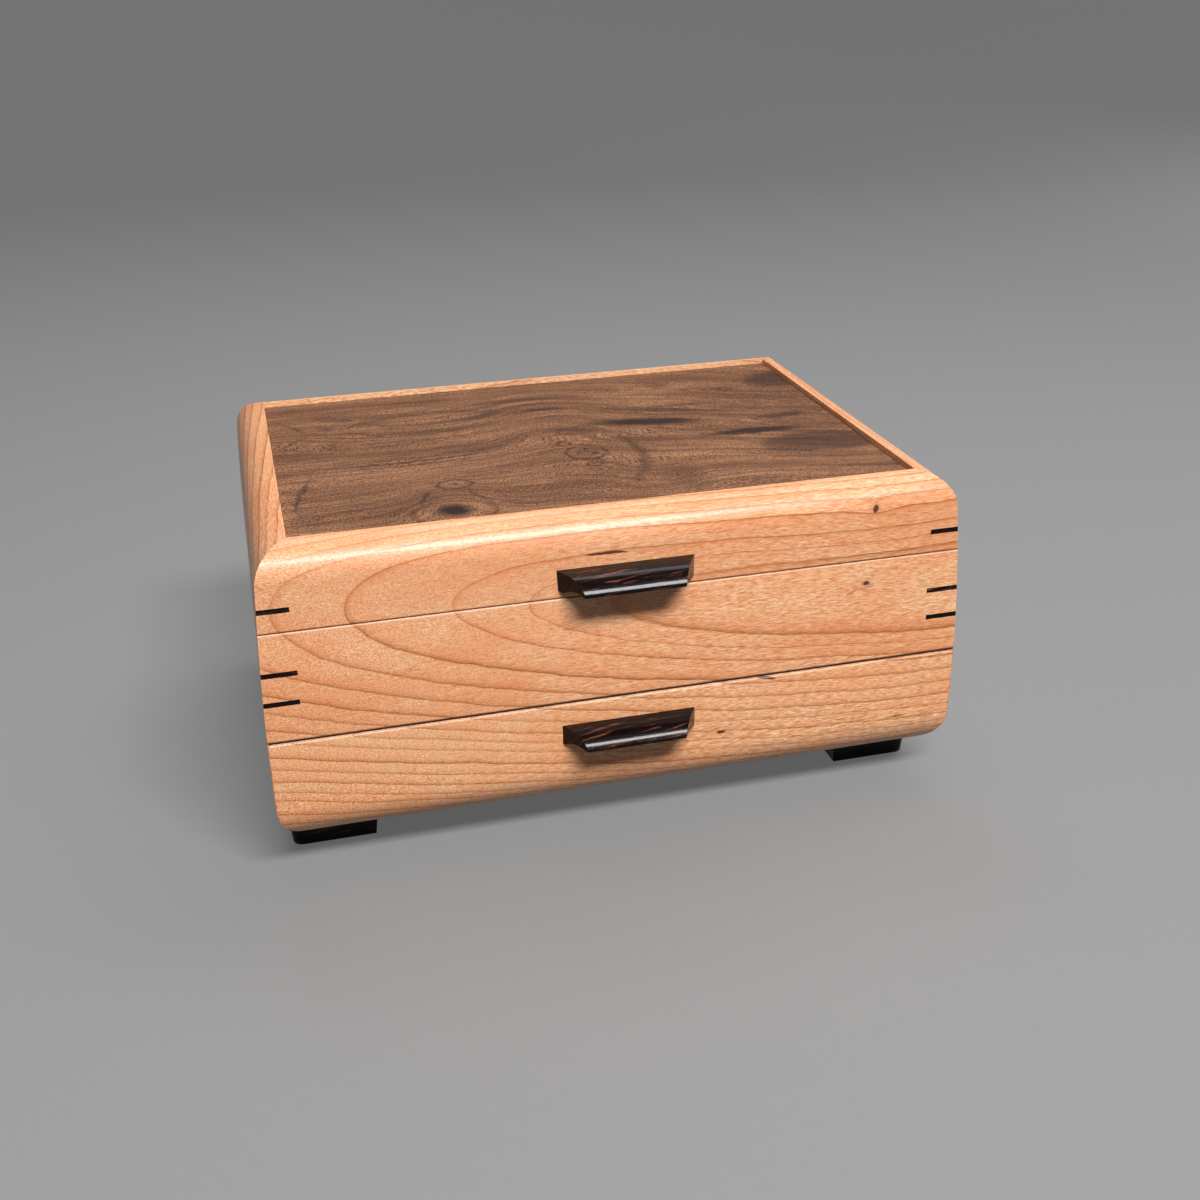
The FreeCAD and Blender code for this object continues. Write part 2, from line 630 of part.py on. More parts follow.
def make_pull(name, level, face):
    """Make a pull with a rounded top, a cove for the fingers below and splayed ends,
    fitted to the crowned face; return the drills of its screws."""
    body = new_body(name + "_blank")
    section = new_sketch(body, "section", "YZ_Plane")
    root = "Sizes.pull_root - Derived.half_depth"
    lip = "-(Derived.half_depth + Sizes.pull_reach)"
    lip_top = "%s - Sizes.pull_lip_drop" % level
    lip_bottom = "%s - Sizes.pull_lip_thickness" % lip_top
    base = "%s - Sizes.pull_base_height" % level
    draw_outline(section, [
        (root, level),
        ("-(Derived.half_depth + Derived.pull_flat)", level, "Sizes.pull_top_radius", 1),
        (lip, lip_top),
        (lip, lip_bottom),
        ("%s + Sizes.pull_cove_margin" % lip, lip_bottom, "Sizes.pull_cove_radius", -1),
        ("-(Derived.half_depth + Sizes.pull_cove_margin)", base),
        (root, base),
    ])
    root_half = "(Sizes.%s_length / 2 + Derived.%s_splay * Sizes.pull_root)" % (name, name)
    pad(body, section, "2 * %s" % root_half, symmetric=True)
    past_lip = "%s - Sizes.overcut" % lip
    tip_half = "(Sizes.%s_lip_length / 2 - Derived.%s_splay * Sizes.overcut)" % (name, name)
    for side_name, side in SIDES.items():
        waste = new_sketch(body, side_name + "_waste", "XY_Plane", level)
        corners = [("%d * %s" % (side, tip_half), past_lip),
                   ("%d * (%s + Sizes.overcut)" % (side, root_half), past_lip),
                   ("%d * (%s + Sizes.overcut)" % (side, root_half), root),
                   ("%d * %s" % (side, root_half), root)]
        draw_outline(waste, corners if side > 0 else corners[::-1])
        pocket(body, waste)
    places = [("%d * Sizes.pull_screw_spacing / 2" % side, "-Derived.inner_half_depth",
               "%s - Sizes.pull_screw_drop" % level) for side in SIDES.values()]
    drills = screw_set(name + "_screws", places, HEAD_REARWARD, "pull_screw",
                       "Derived.pull_screw_length", "Sizes.overcut")
    keep(cut(name, body, [face] + drills), name)
    return drills


# -------------------------------------------------------------------------------- case

def make_case(along, across, kerfs, back_tools):
    """Make the case's four boards, its bottom and the floor of its compartment."""
    span = ("Derived.underside", "Derived.case_rim")
    both_grooves = [BOTTOM_GROOVE, FLOOR_GROOVE]
    for name, side in SIDES.items():
        blank = board_blank("case_blank_" + name, "Derived.half_depth", "Derived.half_width", *span, both_grooves)
        turned(blank, 90 * side)
        let_in = box("case_runner_housing_" + name, *runner_corners(side, "Sizes.overcut"))
        tools = kerfs["case", "front", name] + kerfs["case", "back", name] + [let_in]
        moulded = common("case_moulded_" + name, [blank, across])
        keep(cut("case_side_" + name, moulded, tools), "case_side_" + name)
    blank = board_blank("case_blank_back", "Derived.half_width", "Derived.half_depth", *span, both_grooves)
    moulded = common("case_moulded_back", [turned(blank, 180), along])
    tools = kerfs["case", "back", "left"] + kerfs["case", "back", "right"] + back_tools
    keep(cut("case_back", moulded, tools), "case_back")
    blank = board_blank("case_blank_front", "Derived.half_width", "Derived.half_depth",
                        "Derived.case_front_bottom", "Derived.case_rim", [FLOOR_GROOVE])
    moulded = common("case_moulded_front", [blank, along])
    tools = kerfs["case", "front", "left"] + kerfs["case", "front", "right"]
    keep(cut("case_front_rail", moulded, tools), "case_front_rail")
    grip_x, grip_y = "Derived.inner_half_width + Derived.panel_grip", "Derived.inner_half_depth + Derived.panel_grip"
    keep(box("compartment_floor", ("-(%s)" % grip_x, "-(%s)" % grip_y, "Derived.floor_level"),
             (grip_x, grip_y, "Derived.floor_top")), "compartment_floor")


def runner_corners(side, past_face="0"):
    """Return the corners of a runner, or of its housing when it runs past the side's inner face."""
    near = "%d * (Derived.inner_half_width - Sizes.runner_proud)" % side
    far = "%d * (Derived.inner_half_width + Sizes.runner_let_in)" % side
    if past_face != "0":
        near = "%d * (Derived.inner_half_width - Sizes.runner_proud - %s)" % (side, past_face)
    left, right = (near, far) if side > 0 else (far, near)
    front = "Sizes.runner_front_gap - Derived.inner_half_depth"
    rear = "Derived.inner_half_depth - Sizes.runner_back_gap"
    return ((left, front, "Derived.runner_level"),
            (right, rear, "Derived.runner_level + Sizes.runner_height"))


def make_case_bottom(drills):
    grip_x = "Derived.inner_half_width + Derived.panel_grip"
    front = "Sizes.bottom_front_gap - Derived.inner_half_depth"
    rear = "Derived.inner_half_depth + Derived.panel_grip"
    sheet = box("case_bottom_sheet", ("-(%s)" % grip_x, front, "Derived.bottom_level"),
                (grip_x, rear, "Derived.bottom_top"))
    keep(cut("case_bottom", sheet, drills), "case_bottom")


def make_runners():
    for name, side in SIDES.items():
        keep(box("drawer_runner_" + name, *runner_corners(side)), "drawer_runner_" + name)


def divider(name, length, pitch, count, slots_up):
    """Make an egg-crate divider along X with evenly spaced half-lap slots."""
    body = new_body(name)
    face = new_sketch(body, "face", "XZ_Plane")
    draw_rectangle(face, "-(%s) / 2" % length, "Derived.divider_foot", "(%s) / 2" % length,
                   "Derived.divider_foot + Sizes.divider_height")
    pad(body, face, "Sizes.divider_thickness", symmetric=True)
    slot = new_sketch(body, "slot", "XZ_Plane")
    first = "-%s * (%d - 1) / 2" % (pitch, count)
    half = "(Sizes.divider_thickness / 2 + Sizes.half_lap_slack)"
    rim = "Derived.divider_foot + Sizes.divider_height"
    low, high = ("%s - Derived.half_lap" % rim, "%s + Sizes.overcut" % rim) if slots_up else \
                ("Derived.divider_foot - Sizes.overcut", "Derived.divider_foot + Derived.half_lap")
    draw_rectangle(slot, "%s - %s" % (first, half), low, "%s + %s" % (first, half), high)
    cutter = pocket(body, slot)
    pattern = body.newObject("PartDesign::LinearPattern", name + "_slots")
    pattern.Originals = [cutter]
    pattern.Direction = (slot, ["H_Axis"])
    pattern.Occurrences = count
    bind(pattern, Length="%s * (%d - 1)" % (pitch, count))
    body.Tip = pattern
    return body


def make_compartments():
    """Make the felt lining of the top compartment and the dividers that stand on it."""
    half_x = "(Derived.inner_half_width - Sizes.lining_slack)"
    half_y = "(Derived.inner_half_depth - Sizes.lining_slack)"
    keep(box("compartment_lining", ("-" + half_x, "-" + half_y, "Derived.floor_top"),
             (half_x, half_y, "Derived.divider_foot")), "compartment_lining")
    for index in range(1, ROWS):
        name = "divider_long_%d" % index
        body = divider(name, "2 * (Derived.inner_half_width - Sizes.divider_slack)",
                       "Derived.column_pitch", COLUMNS - 1, True)
        bind(body, Placement__Base__y="Derived.row_pitch * (%d - %d / 2)" % (index, ROWS))
        keep(body, name)
    for index in range(1, COLUMNS):
        name = "divider_cross_%d" % index
        body = divider(name, "2 * (Derived.inner_half_depth - Sizes.divider_slack)",
                       "Derived.row_pitch", ROWS - 1, False)
        turned(body, 90)
        bind(body, Placement__Base__x="Derived.column_pitch * (%d - %d / 2)" % (index, COLUMNS))
        keep(body, name)


def make_feet(case_sides):
    """Make four tapered feet, let in under the bottom and scribed to the side boards;
    return the drills of their screws."""
    places = [("%d * Derived.foot_screw_x" % side,
               "%d * Derived.foot_y + %d * Sizes.foot_screw_spacing / 2" % (end, step),
               "Sizes.foot_screw_recess")
              for end in ENDS.values() for side in SIDES.values() for step in (-1, 1)]
    drills = screw_set("foot_screws", places, HEAD_DOWN, "foot_screw", "Derived.foot_screw_length",
                       "Sizes.foot_screw_recess + Sizes.overcut")
    reach = "Derived.inner_half_width + Sizes.groove_depth"
    above = box("foot_headroom", ("-(%s)" % reach, "-Derived.half_depth", "Derived.bottom_level"),
                (reach, "Derived.half_depth", "Derived.foot_blank_top + Sizes.overcut"))
    for end_name, end in ENDS.items():
        for side_name, side in SIDES.items():
            name = "foot_%s_%s" % (end_name, side_name)
            body = new_body(name + "_blank")
            plan = new_sketch(body, "plan", "XY_Plane")
            half_x, half_y = "Sizes.foot_length / 2", "Sizes.foot_depth / 2"
            corner = "Sizes.foot_corner_round"
            draw_outline(plan, [
                ("-" + half_x, "-" + half_y),
                ("%s - %s" % (half_x, corner), "-" + half_y, corner, 1),
                (half_x, "%s - %s" % (corner, half_y)),
                (half_x, "%s - %s" % (half_y, corner), corner, 1),
                ("%s - %s" % (half_x, corner), half_y),
                ("-" + half_x, half_y),
            ])
            block = pad(body, plan, "Derived.foot_blank_top")
            bind(block, TaperAngle="Sizes.foot_taper")
            if side < 0:
                turned(body, 180)
            bind(body, Placement__Base__x="%d * Derived.foot_x" % side,
                 Placement__Base__y="%d * Derived.foot_y" % end)
            keep(cut(name, body, [case_sides[side_name], above] + drills), name)
    return drills


# --------------------------------------------------------------------------------- lid

def make_lid(along, across, kerfs, back_tools, pull_drills):
    """Make the lid's mitred frame and the walnut panel that its grooves hold."""
    span = ("Derived.lid_rim", "Derived.top_level")
    for name, side in SIDES.items():
        blank = board_blank("lid_blank_" + name, "Derived.half_depth", "Derived.half_width", *span, [LID_GROOVE])
        moulded = common("lid_moulded_" + name, [turned(blank, 90 * side), across])
        tools = kerfs["lid", "front", name] + kerfs["lid", "back", name]
        keep(cut("lid_rail_" + name, moulded, tools), "lid_rail_" + name)
    for name, angle, extra in (("front", 0, pull_drills), ("back", 180, back_tools)):
        blank = board_blank("lid_blank_" + name, "Derived.half_width", "Derived.half_depth", *span, [LID_GROOVE])
        moulded = common("lid_moulded_" + name, [turned(blank, angle), along])
        tools = kerfs["lid", name, "left"] + kerfs["lid", name, "right"] + extra
        keep(cut("lid_rail_" + name, moulded, tools), "lid_rail_" + name)
    panel = new_body("lid_panel")
    layers = (("tongue", "Derived.panel_grip", "Sizes.tongue_thickness"),
              ("field", "-Sizes.panel_reveal", "Sizes.lid_panel_thickness"))
    for suffix, grow, thickness in layers:
        plan = new_sketch(panel, suffix, "XY_Plane", "Derived.lid_panel_level")
        half_x = "(Derived.inner_half_width + %s)" % grow
        half_y = "(Derived.inner_half_depth + %s)" % grow
        draw_rectangle(plan, "-" + half_x, "-" + half_y, half_x, half_y)
        pad(panel, plan, thickness)
    keep(panel, "lid_panel")


# ------------------------------------------------------------------------------ drawer

def make_drawer_front(along, pull_drills):
    blank = board_blank("drawer_blank_front", "Derived.half_width", "Derived.half_depth",
                        "Derived.underside", "Derived.drawer_front_top", [], "Sizes.mitre_gap")
    moulded = common("drawer_moulded_front", [blank, along])
    tools = list(pull_drills)
    for name, side in SIDES.items():
        near, far = "%d * Derived.drawer_inner_half" % side, "%d * Derived.drawer_half_width" % side
        left, right = (near, far) if side > 0 else (far, near)
        tools.append(box("drawer_front_dado_" + name,
                         (left, "-Derived.inner_half_depth - Sizes.drawer_side_dado", "Derived.drawer_foot"),
                         (right, "Sizes.overcut - Derived.inner_half_depth", "Derived.drawer_top")))
    reach = "Derived.drawer_inner_half"
    tools.append(box("drawer_front_groove",
                     ("-" + reach, "-Derived.inner_half_depth - Sizes.groove_depth", "Derived.drawer_panel_level"),
                     (reach, "Sizes.overcut - Derived.inner_half_depth", "Derived.drawer_panel_top")))
    chamfer = new_body("drawer_edge_plane")
    waste = new_sketch(chamfer, "waste", "YZ_Plane")
    inset = ("(Sizes.crown_radius - sqrt(Sizes.crown_radius ^ 2"
             " - (Derived.drawer_front_top - Derived.crown_level) ^ 2))")
    face = "(%s - Derived.half_depth)" % inset
    edge = "Derived.drawer_front_top"
    draw_outline(waste, [
        ("%s - Sizes.overcut" % face, "%s - Sizes.drawer_edge_chamfer - Sizes.overcut" % edge),
        ("%s + Sizes.drawer_edge_chamfer + Sizes.overcut" % face, "%s + Sizes.overcut" % edge),
        ("%s - Sizes.overcut" % face, "%s + Sizes.overcut" % edge),
    ])
    pad(chamfer, waste, "Sizes.box_width", symmetric=True)
    tools.append(chamfer)
    keep(cut("drawer_front", moulded, tools), "drawer_front")


def make_drawer_sides():
    for name, side in SIDES.items():
        body = new_body("drawer_side_blank_" + name)
        plan = new_sketch(body, "plan", "XY_Plane", "Derived.drawer_foot")
        inner, outer = "Derived.drawer_inner_half", "Derived.drawer_half_width"
        front = "-Derived.inner_half_depth - Sizes.drawer_side_dado"
        draw_rectangle(plan, inner, front, outer, "Derived.drawer_rear")
        pad(body, plan, "Sizes.drawer_side_height")
        runway = new_sketch(body, "runway", "XZ_Plane")
        draw_rectangle(runway, "Derived.inner_half_width - Sizes.runner_proud - Sizes.runner_slack",
                       "Derived.runner_level - Sizes.runner_slack", "%s + Sizes.overcut" % outer,
                       "Derived.runner_level + Sizes.runner_height + Sizes.runner_slack")
        pocket(body, runway)
        groove = new_sketch(body, "groove", "XZ_Plane")
        draw_rectangle(groove, "%s - Sizes.overcut" % inner, "Derived.drawer_panel_level",
                       "%s + Sizes.groove_depth" % inner, "Derived.drawer_panel_top")
        pocket(body, groove)
        dado = new_sketch(body, "dado", "XY_Plane", "Derived.drawer_foot")
        draw_rectangle(dado, "%s - Sizes.overcut" % inner, "Derived.drawer_back_inner",
                       "%s + Sizes.drawer_back_dado" % inner, "Derived.drawer_back_outer")
        pocket(body, dado)
        if side < 0:
            body = DOC.addObject("Part::Mirroring", "drawer_side_mirrored")
            body.Source = DOC.getObject("drawer_side_blank_left")
            body.Base = Vector(0, 0, 0)
            body.Normal = Vector(1, 0, 0)
        keep(body, "drawer_side_" + name)


def make_drawer_box():
    """Make the drawer's back, bottom, lining and dividers."""
    inner = "Derived.drawer_inner_half"
    back_half = "(%s + Sizes.drawer_back_dado)" % inner
    keep(box("drawer_back", ("-" + back_half, "Derived.drawer_back_inner", "Derived.drawer_panel_top"),
             (back_half, "Derived.drawer_back_outer", "Derived.drawer_top")), "drawer_back")
    panel_half = "(%s + Derived.panel_grip)" % inner
    sheet = box("drawer_bottom_sheet",
                ("-" + panel_half, "-Derived.inner_half_depth", "Derived.drawer_panel_level"),
                (panel_half, "Derived.drawer_back_outer", "Derived.drawer_panel_top"))
    tongue = box("drawer_bottom_tongue",
                 ("-(%s - Sizes.panel_slack)" % inner, "-Derived.inner_half_depth - Derived.panel_grip",
                  "Derived.drawer_panel_level"),
                 ("%s - Sizes.panel_slack" % inner, "-Derived.inner_half_depth", "Derived.drawer_panel_top"))
    bottom = DOC.addObject("Part::Fuse", "drawer_bottom")
    bottom.Base = sheet
    bottom.Tool = tongue
    bottom.Refine = True
    keep(bottom, "drawer_bottom")
    lining_half = "(%s - Sizes.lining_slack)" % inner
    keep(box("drawer_lining",
             ("-" + lining_half, "Sizes.lining_slack - Derived.inner_half_depth", "Derived.drawer_panel_top"),
             (lining_half, "Derived.drawer_back_inner - Sizes.lining_slack", "Derived.drawer_lining_top")),
         "drawer_lining")
    rim = "Derived.drawer_lining_top + Sizes.drawer_divider_height"
    front = "-Derived.inner_half_depth + Sizes.drawer_front_row"
    long_half = "(%s - Sizes.divider_slack)" % inner
    keep(box("drawer_divider_long", ("-" + long_half, front, "Derived.drawer_lining_top"),
             (long_half, "%s + Sizes.divider_thickness" % front, rim)), "drawer_divider_long")
    for index in range(1, DRAWER_CELLS):
        name = "drawer_divider_cross_%d" % index
        middle = "Derived.drawer_cell_pitch * (%d - %d / 2)" % (index, DRAWER_CELLS)
        keep(box(name, ("%s - Sizes.divider_thickness / 2" % middle,
                        "Sizes.divider_slack - Derived.inner_half_depth", "Derived.drawer_lining_top"),
                 ("%s + Sizes.divider_thickness / 2" % middle, front, rim)), name)


# ------------------------------------------------------------------------------ output

def build():
    fill_sheets()
    along = moulding("moulding_along", "YZ_Plane", "Derived.half_depth", "Sizes.box_width")
    across = moulding("moulding_across", "XZ_Plane", "Derived.half_width", "Sizes.box_depth")
    kerfs = make_keys([along, across])
    case_back_tools, lid_back_tools = make_hinges()
    make_case(along, across, kerfs, case_back_tools)
    make_runners()
    make_compartments()
    foot_drills = make_feet({name: DOC.getObject("case_moulded_" + name) for name in SIDES})
    make_case_bottom(foot_drills)
    lid_pull_drills = make_pull("lid_pull", "Derived.lid_pull_level", along)
    make_lid(along, across, kerfs, lid_back_tools, lid_pull_drills)
    drawer_pull_drills = make_pull("drawer_pull", "Derived.drawer_pull_level", along)
    make_drawer_front(along, drawer_pull_drills)
    make_drawer_sides()
    make_drawer_box()
    DOC.recompute()


def check():
    """Stop if a feature failed, a pocket removed nothing or a piece isn't sound."""
    for thing in DOC.Objects:
        if "Invalid" in thing.State or "Error" in thing.State:
            raise RuntimeError("%s failed: %s" % (thing.Name, thing.State))
    for before, feature in POCKETS:
        if feature.Shape.Volume >= before.Shape.Volume:
            raise RuntimeError("%s removes nothing" % feature.Name)
    for piece in PIECES:
        if piece.Shape.isNull() or not piece.Shape.isValid() or not piece.Shape.Solids:
            raise RuntimeError("%s has no sound shape" % piece.Label)


def export():
    os.makedirs("parts", exist_ok=True)
    for piece in PIECES:
        piece.Shape.exportStep(os.path.join("parts", piece.Label + ".step"))
        print("%-28s solids %2d  volume %10.1f mm3" % (piece.Label, len(piece.Shape.Solids), piece.Shape.Volume))


build()
check()
export()
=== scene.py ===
"""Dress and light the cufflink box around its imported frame."""
import logging
import math
from dataclasses import dataclass, replace
from enum import Enum
from functools import cache
from typing import Callable, Iterable, Sequence, Union

import bpy
from mathutils import Euler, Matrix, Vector

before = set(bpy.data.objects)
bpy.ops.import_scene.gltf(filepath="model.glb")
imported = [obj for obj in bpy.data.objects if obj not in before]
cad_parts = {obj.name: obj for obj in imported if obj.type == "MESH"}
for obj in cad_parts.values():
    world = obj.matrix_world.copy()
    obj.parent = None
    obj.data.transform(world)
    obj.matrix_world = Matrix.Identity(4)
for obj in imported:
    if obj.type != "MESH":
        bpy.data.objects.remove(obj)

LOG = logging.getLogger("cufflink_box")
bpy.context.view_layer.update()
MM_PER_METRE = 1000.0
ORIGIN = (0.0, 0.0, 0.0)
# Where a Mix node's factor and its two colours go in, and where the mixed colour comes out
MIX_INPUTS = (0, 6, 7)
MIX_RESULT = 2

Socket = bpy.types.NodeSocket
Tree = bpy.types.NodeTree
Triple = tuple[float, float, float]
Colour = Triple
Feed = Union["Wire", float, Sequence[float]]
Feeds = dict[Union[int, str], Feed]


def shade(tint: Colour, share: float) -> Colour:
    """Return a colour that is darker or lighter by a share."""
    return tuple(share * part for part in tint)


class Graph:
    """A node tree while it is being wired."""

    def __init__(self, tree: Tree) -> None:
        """Take hold of a material's or group's tree."""
        self.tree = tree

    def feed(self, socket: Socket, source: Feed) -> None:
        """Link a wire into a socket, or set the socket's constant.

        Args:
            socket: The input socket.
            source: A wire, a number, a vector or a colour.
        """
        if isinstance(source, Wire):
            self.tree.links.new(source.socket, socket)
        elif socket.type == "RGBA":
            socket.default_value = (*source, 1.0)
        else:
            socket.default_value = source

    def node(self, kind: str, feeds: Feeds, **settings: object) -> bpy.types.Node:
        """Add a node.

        Args:
            kind: Blender's name for the node type, without the ShaderNode prefix.
            feeds: What goes into its inputs, by name or number.
            settings: Plain properties to set on it.

        Returns:
            The new node.
        """
        node = self.tree.nodes.new("ShaderNode" + kind)
        for name, value in settings.items():
            setattr(node, name, value)
        for name, source in feeds.items():
            self.feed(node.inputs[name], source)
        return node

    def wire(self, kind: str, feeds: Feeds, output: Union[int, str] = 0, **settings: object) -> "Wire":
        """Add a node and return one of its outputs."""
        return Wire(self, self.node(kind, feeds, **settings).outputs[output])

    def join(self, *parts: Feed) -> "Wire":
        """Return the vector of three components."""
        return self.wire("CombineXYZ", dict(enumerate(parts)))

    def place(self) -> "Wire":
        """Return the place in the box's own millimetres."""
        return self.wire("TexCoord", {}, "Object").stretch((MM_PER_METRE,) * 3)

    def group(self, build: Callable[[], Tree], **feeds: Feed) -> dict[str, "Wire"]:
        """Place a node group.

        Args:
            build: Makes the group the first time, and hands out the same one after that.
            feeds: Its inputs by name; an underscore stands for a space.

        Returns:
            Its outputs by name.
        """
        inputs = {name.replace("_", " "): source for name, source in feeds.items()}
        node = self.node("Group", inputs, node_tree=build())
        return {socket.name: Wire(self, socket) for socket in node.outputs}


class Wire:
    """An output of a node, which is reckoned with like a number or a vector."""

    def __init__(self, graph: Graph, socket: Socket) -> None:
        """Take hold of an output socket."""
        self.graph = graph
        self.socket = socket

    def math(self, operation: str, *others: Feed, clamp: bool = False) -> "Wire":
        """Return the result of a Math node that takes this value first."""
        feeds = dict(enumerate((self, *others)))
        return self.graph.wire("Math", feeds, operation=operation, use_clamp=clamp)

    def vector_math(self, operation: str, *others: Feed, output: str = "Vector") -> "Wire":
        """Return the result of a Vector Math node that takes this vector first."""
        feeds = dict(enumerate((self, *others)))
        return self.graph.wire("VectorMath", feeds, output, operation=operation)

    def __add__(self, other: Feed) -> "Wire":
        """Return the sum."""
        return self.math("ADD", other)

    def __sub__(self, other: Feed) -> "Wire":
        """Return the difference."""
        return self.math("SUBTRACT", other)

    def __mul__(self, other: Feed) -> "Wire":
        """Return the product."""
        return self.math("MULTIPLY", other)

    def __truediv__(self, other: Feed) -> "Wire":
        """Return the quotient."""
        return self.math("DIVIDE", other)

    def __neg__(self) -> "Wire":
        """Return the opposite."""
        return self * -1.0

    def bell(self) -> "Wire":
        """Return exp(-value squared): 1 at zero, falling off on both sides."""
        return (-(self * self)).math("EXPONENT")

    def stretch(self, factors: Triple) -> "Wire":
        """Return this vector with each component multiplied by a factor of its own."""
        return self.vector_math("MULTIPLY", factors)

    def split(self) -> tuple["Wire", ...]:
        """Return the three components of this vector."""
        node = self.graph.node("SeparateXYZ", {0: self})
        return tuple(Wire(self.graph, socket) for socket in node.outputs)

    def noise(self, scale: float = 1.0, detail: float = 2.0, roughness: float = 0.5,
              distortion: float = 0.0, output: str = "Fac") -> "Wire":
        """Return a noise texture read at this place, which is about 0.5 on average."""
        settings = {"Scale": scale, "Detail": detail, "Roughness": roughness, "Distortion": distortion}
        return self.graph.wire("TexNoise", {"Vector": self, **settings}, output)

    def waver(self, reach: float, scale: float) -> "Wire":
        """Shift this place about, each axis by itself.

        Args:
            reach: Its furthest shift.
            scale: The shifts per unit.

        Returns:
            The shifted place.
        """
        shift = self.noise(scale, detail=3.0, roughness=0.62, output="Color")
        shift = shift.vector_math("SUBTRACT", (0.5,) * 3).stretch((2.0 * reach,) * 3)
        return self.vector_math("ADD", shift)

    def remap(self, low: Feed, high: Feed, to_low: float = 0.0, to_high: float = 1.0,
              kind: str = "LINEAR") -> "Wire":
        """Return this value mapped from one range to another, clamped at both ends."""
        feeds = dict(enumerate((self, low, high, to_low, to_high)))
        return self.graph.wire("MapRange", feeds, "Result", interpolation_type=kind)

    def blend(self, first: Feed, second: Feed) -> "Wire":
        """Return a mix of two colours, of which this value is the second one's share."""
        feeds = dict(zip(MIX_INPUTS, (self, first, second)))
        return self.graph.wire("Mix", feeds, MIX_RESULT, data_type="RGBA", blend_type="MIX")

    def ramp(self, stops: Sequence[tuple[float, float]], stepped: bool = False) -> "Wire":
        """Map this value through a colour ramp of greys.

        Args:
            stops: Position and grey of each stop.
            stepped: Whether each grey holds until the next stop.

        Returns:
            The grey.
        """
        node = self.graph.node("ValToRGB", {0: self})
        node.color_ramp.interpolation = "CONSTANT" if stepped else "LINEAR"
        elements = node.color_ramp.elements
        while len(elements) < len(stops):
            elements.new(1.0)
        for element, (position, _) in zip(elements, stops):
            element.position = position
        for element, (_, grey) in zip(elements, stops):
            element.color = (grey, grey, grey, 1.0)
        return Wire(self.graph, node.outputs["Color"])


class Effect(Graph):
    """A shader group with named inputs and outputs, while it is being wired."""

    def __init__(self, name: str, **inputs: Feed) -> None:
        """Begin the group.

        Args:
            name: The group's name.
            inputs: Each input's default; an underscore in its name stands for a space.
        """
        super().__init__(bpy.data.node_groups.new(name, "ShaderNodeTree"))
        for label, default in inputs.items():
            kind = "NodeSocketFloat" if isinstance(default, float) else "NodeSocketVector"
            self.open_socket(label, "INPUT", kind).default_value = default
        self.entry = self.tree.nodes.new("NodeGroupInput")

    def open_socket(self, label: str, side: str, kind: str) -> bpy.types.NodeTreeInterfaceSocket:
        """Add a named socket to the group."""
        return self.tree.interface.new_socket(name=label.replace("_", " "), in_out=side, socket_type=kind)

    def __getitem__(self, name: str) -> Wire:
        """Return the input of that name."""
        return Wire(self, self.entry.outputs[name])

    def close(self, **outputs: Wire) -> Tree:
        """Name what the group puts out.

        Args:
            outputs: Each output's value.

        Returns:
            The finished group.
        """
        for label in outputs:
            self.open_socket(label, "OUTPUT", "NodeSocketFloat")
        leave = self.tree.nodes.new("NodeGroupOutput")
        for label, source in outputs.items():
            self.feed(leave.inputs[label], source)
        return self.tree


class Surface(Graph):
    """A material with one Principled shader, while it is being wired."""

    def __init__(self, name: str) -> None:
        """Make the material."""
        self.material = bpy.data.materials.new(name)
        self.material.use_nodes = True
        super().__init__(self.material.node_tree)
        self.shader = self.tree.nodes["Principled BSDF"]

    def set(self, **feeds: Feed) -> None:
        """Feed the shader's inputs by name, where an underscore stands for a space."""
        for name, source in feeds.items():
            self.feed(self.shader.inputs[name.replace("_", " ")], source)

    def bump(self, height: Wire) -> None:
        """Feed a relief in millimetres into the shader's normal."""
        feeds = {"Strength": 1.0, "Distance": 1.0 / MM_PER_METRE, "Height": height}
        self.set(Normal=self.wire("Bump", feeds, "Normal"))


# ------------------------------------------------------------------ shared effects

# How level a face is where a seam's painted shade and highlight begin to fade, and where they are gone
FACING_UP = (0.55, 0.85)
# Radii of the log's growth rings in mm, and how dark the end of each one is. They are in
# two runs, because one colour ramp holds no more than 32 stops.
RING_RUNS = (((62.1, 0.95), (64.5, 0.60), (67.6, 1.0), (73.4, 1.0), (78.5, 0.85), (83.7, 0.75), (88.9, 0.85),
              (93.4, 0.65), (98.1, 0.8)),
             ((102.1, 0.7), (106.4, 0.65), (112.0, 1.0), (116.6, 0.7), (121.3, 0.9), (125.9, 0.7),
              (129.6, 0.85), (136.2, 0.75), (142.0, 0.85)))
# Where the first ring begins, the mean pitch of the rings and the breadth of a ring's end, in mm
RING_FIRST = 55.0
RING_PITCH = 5.0
RING_EDGE = 0.3
# How far the rings waver in mm, and how fast along, across and into the board
RING_WAVER = 2.4
RING_WAVER_RATE = (0.024, 0.045, 0.045)
# How fast the season's darkening fades per mm from a ring's end
SEASON_FADE = 0.27
# The least steepness of the radius over a face that the lines' width is evened out for
FLATTEST = 0.12
# Steps of a pith's cubic per mm along the board
PER_STEP = 0.01
POWERS = range(4)
# How far the fibres drift across the grain in mm, and how fast
FIBRE_DRIFT = 9.0
FIBRE_DRIFT_RATE = (0.010, 0.025, 0.025)
# Breadth of the streaks' rows, and how often flecks, dots and pores follow one another
# along the grain, each as a share of the streaks' own
STREAK_ROWS = 0.7
FLECK_RATE = 2.4
DOT_RATE = 11.0
PORE_RATE = 3.0
MOTTLE_RATE = (0.012, 0.035, 0.035)
# The stretches of those noises that are spread out from 0 to 1
STREAK_SPREAD = (0.3, 0.7)
FLECK_SPREAD = (0.36, 0.64)
PORE_SPREAD = (0.6, 0.7)
MOTTLE_SPREAD = (0.35, 0.68)
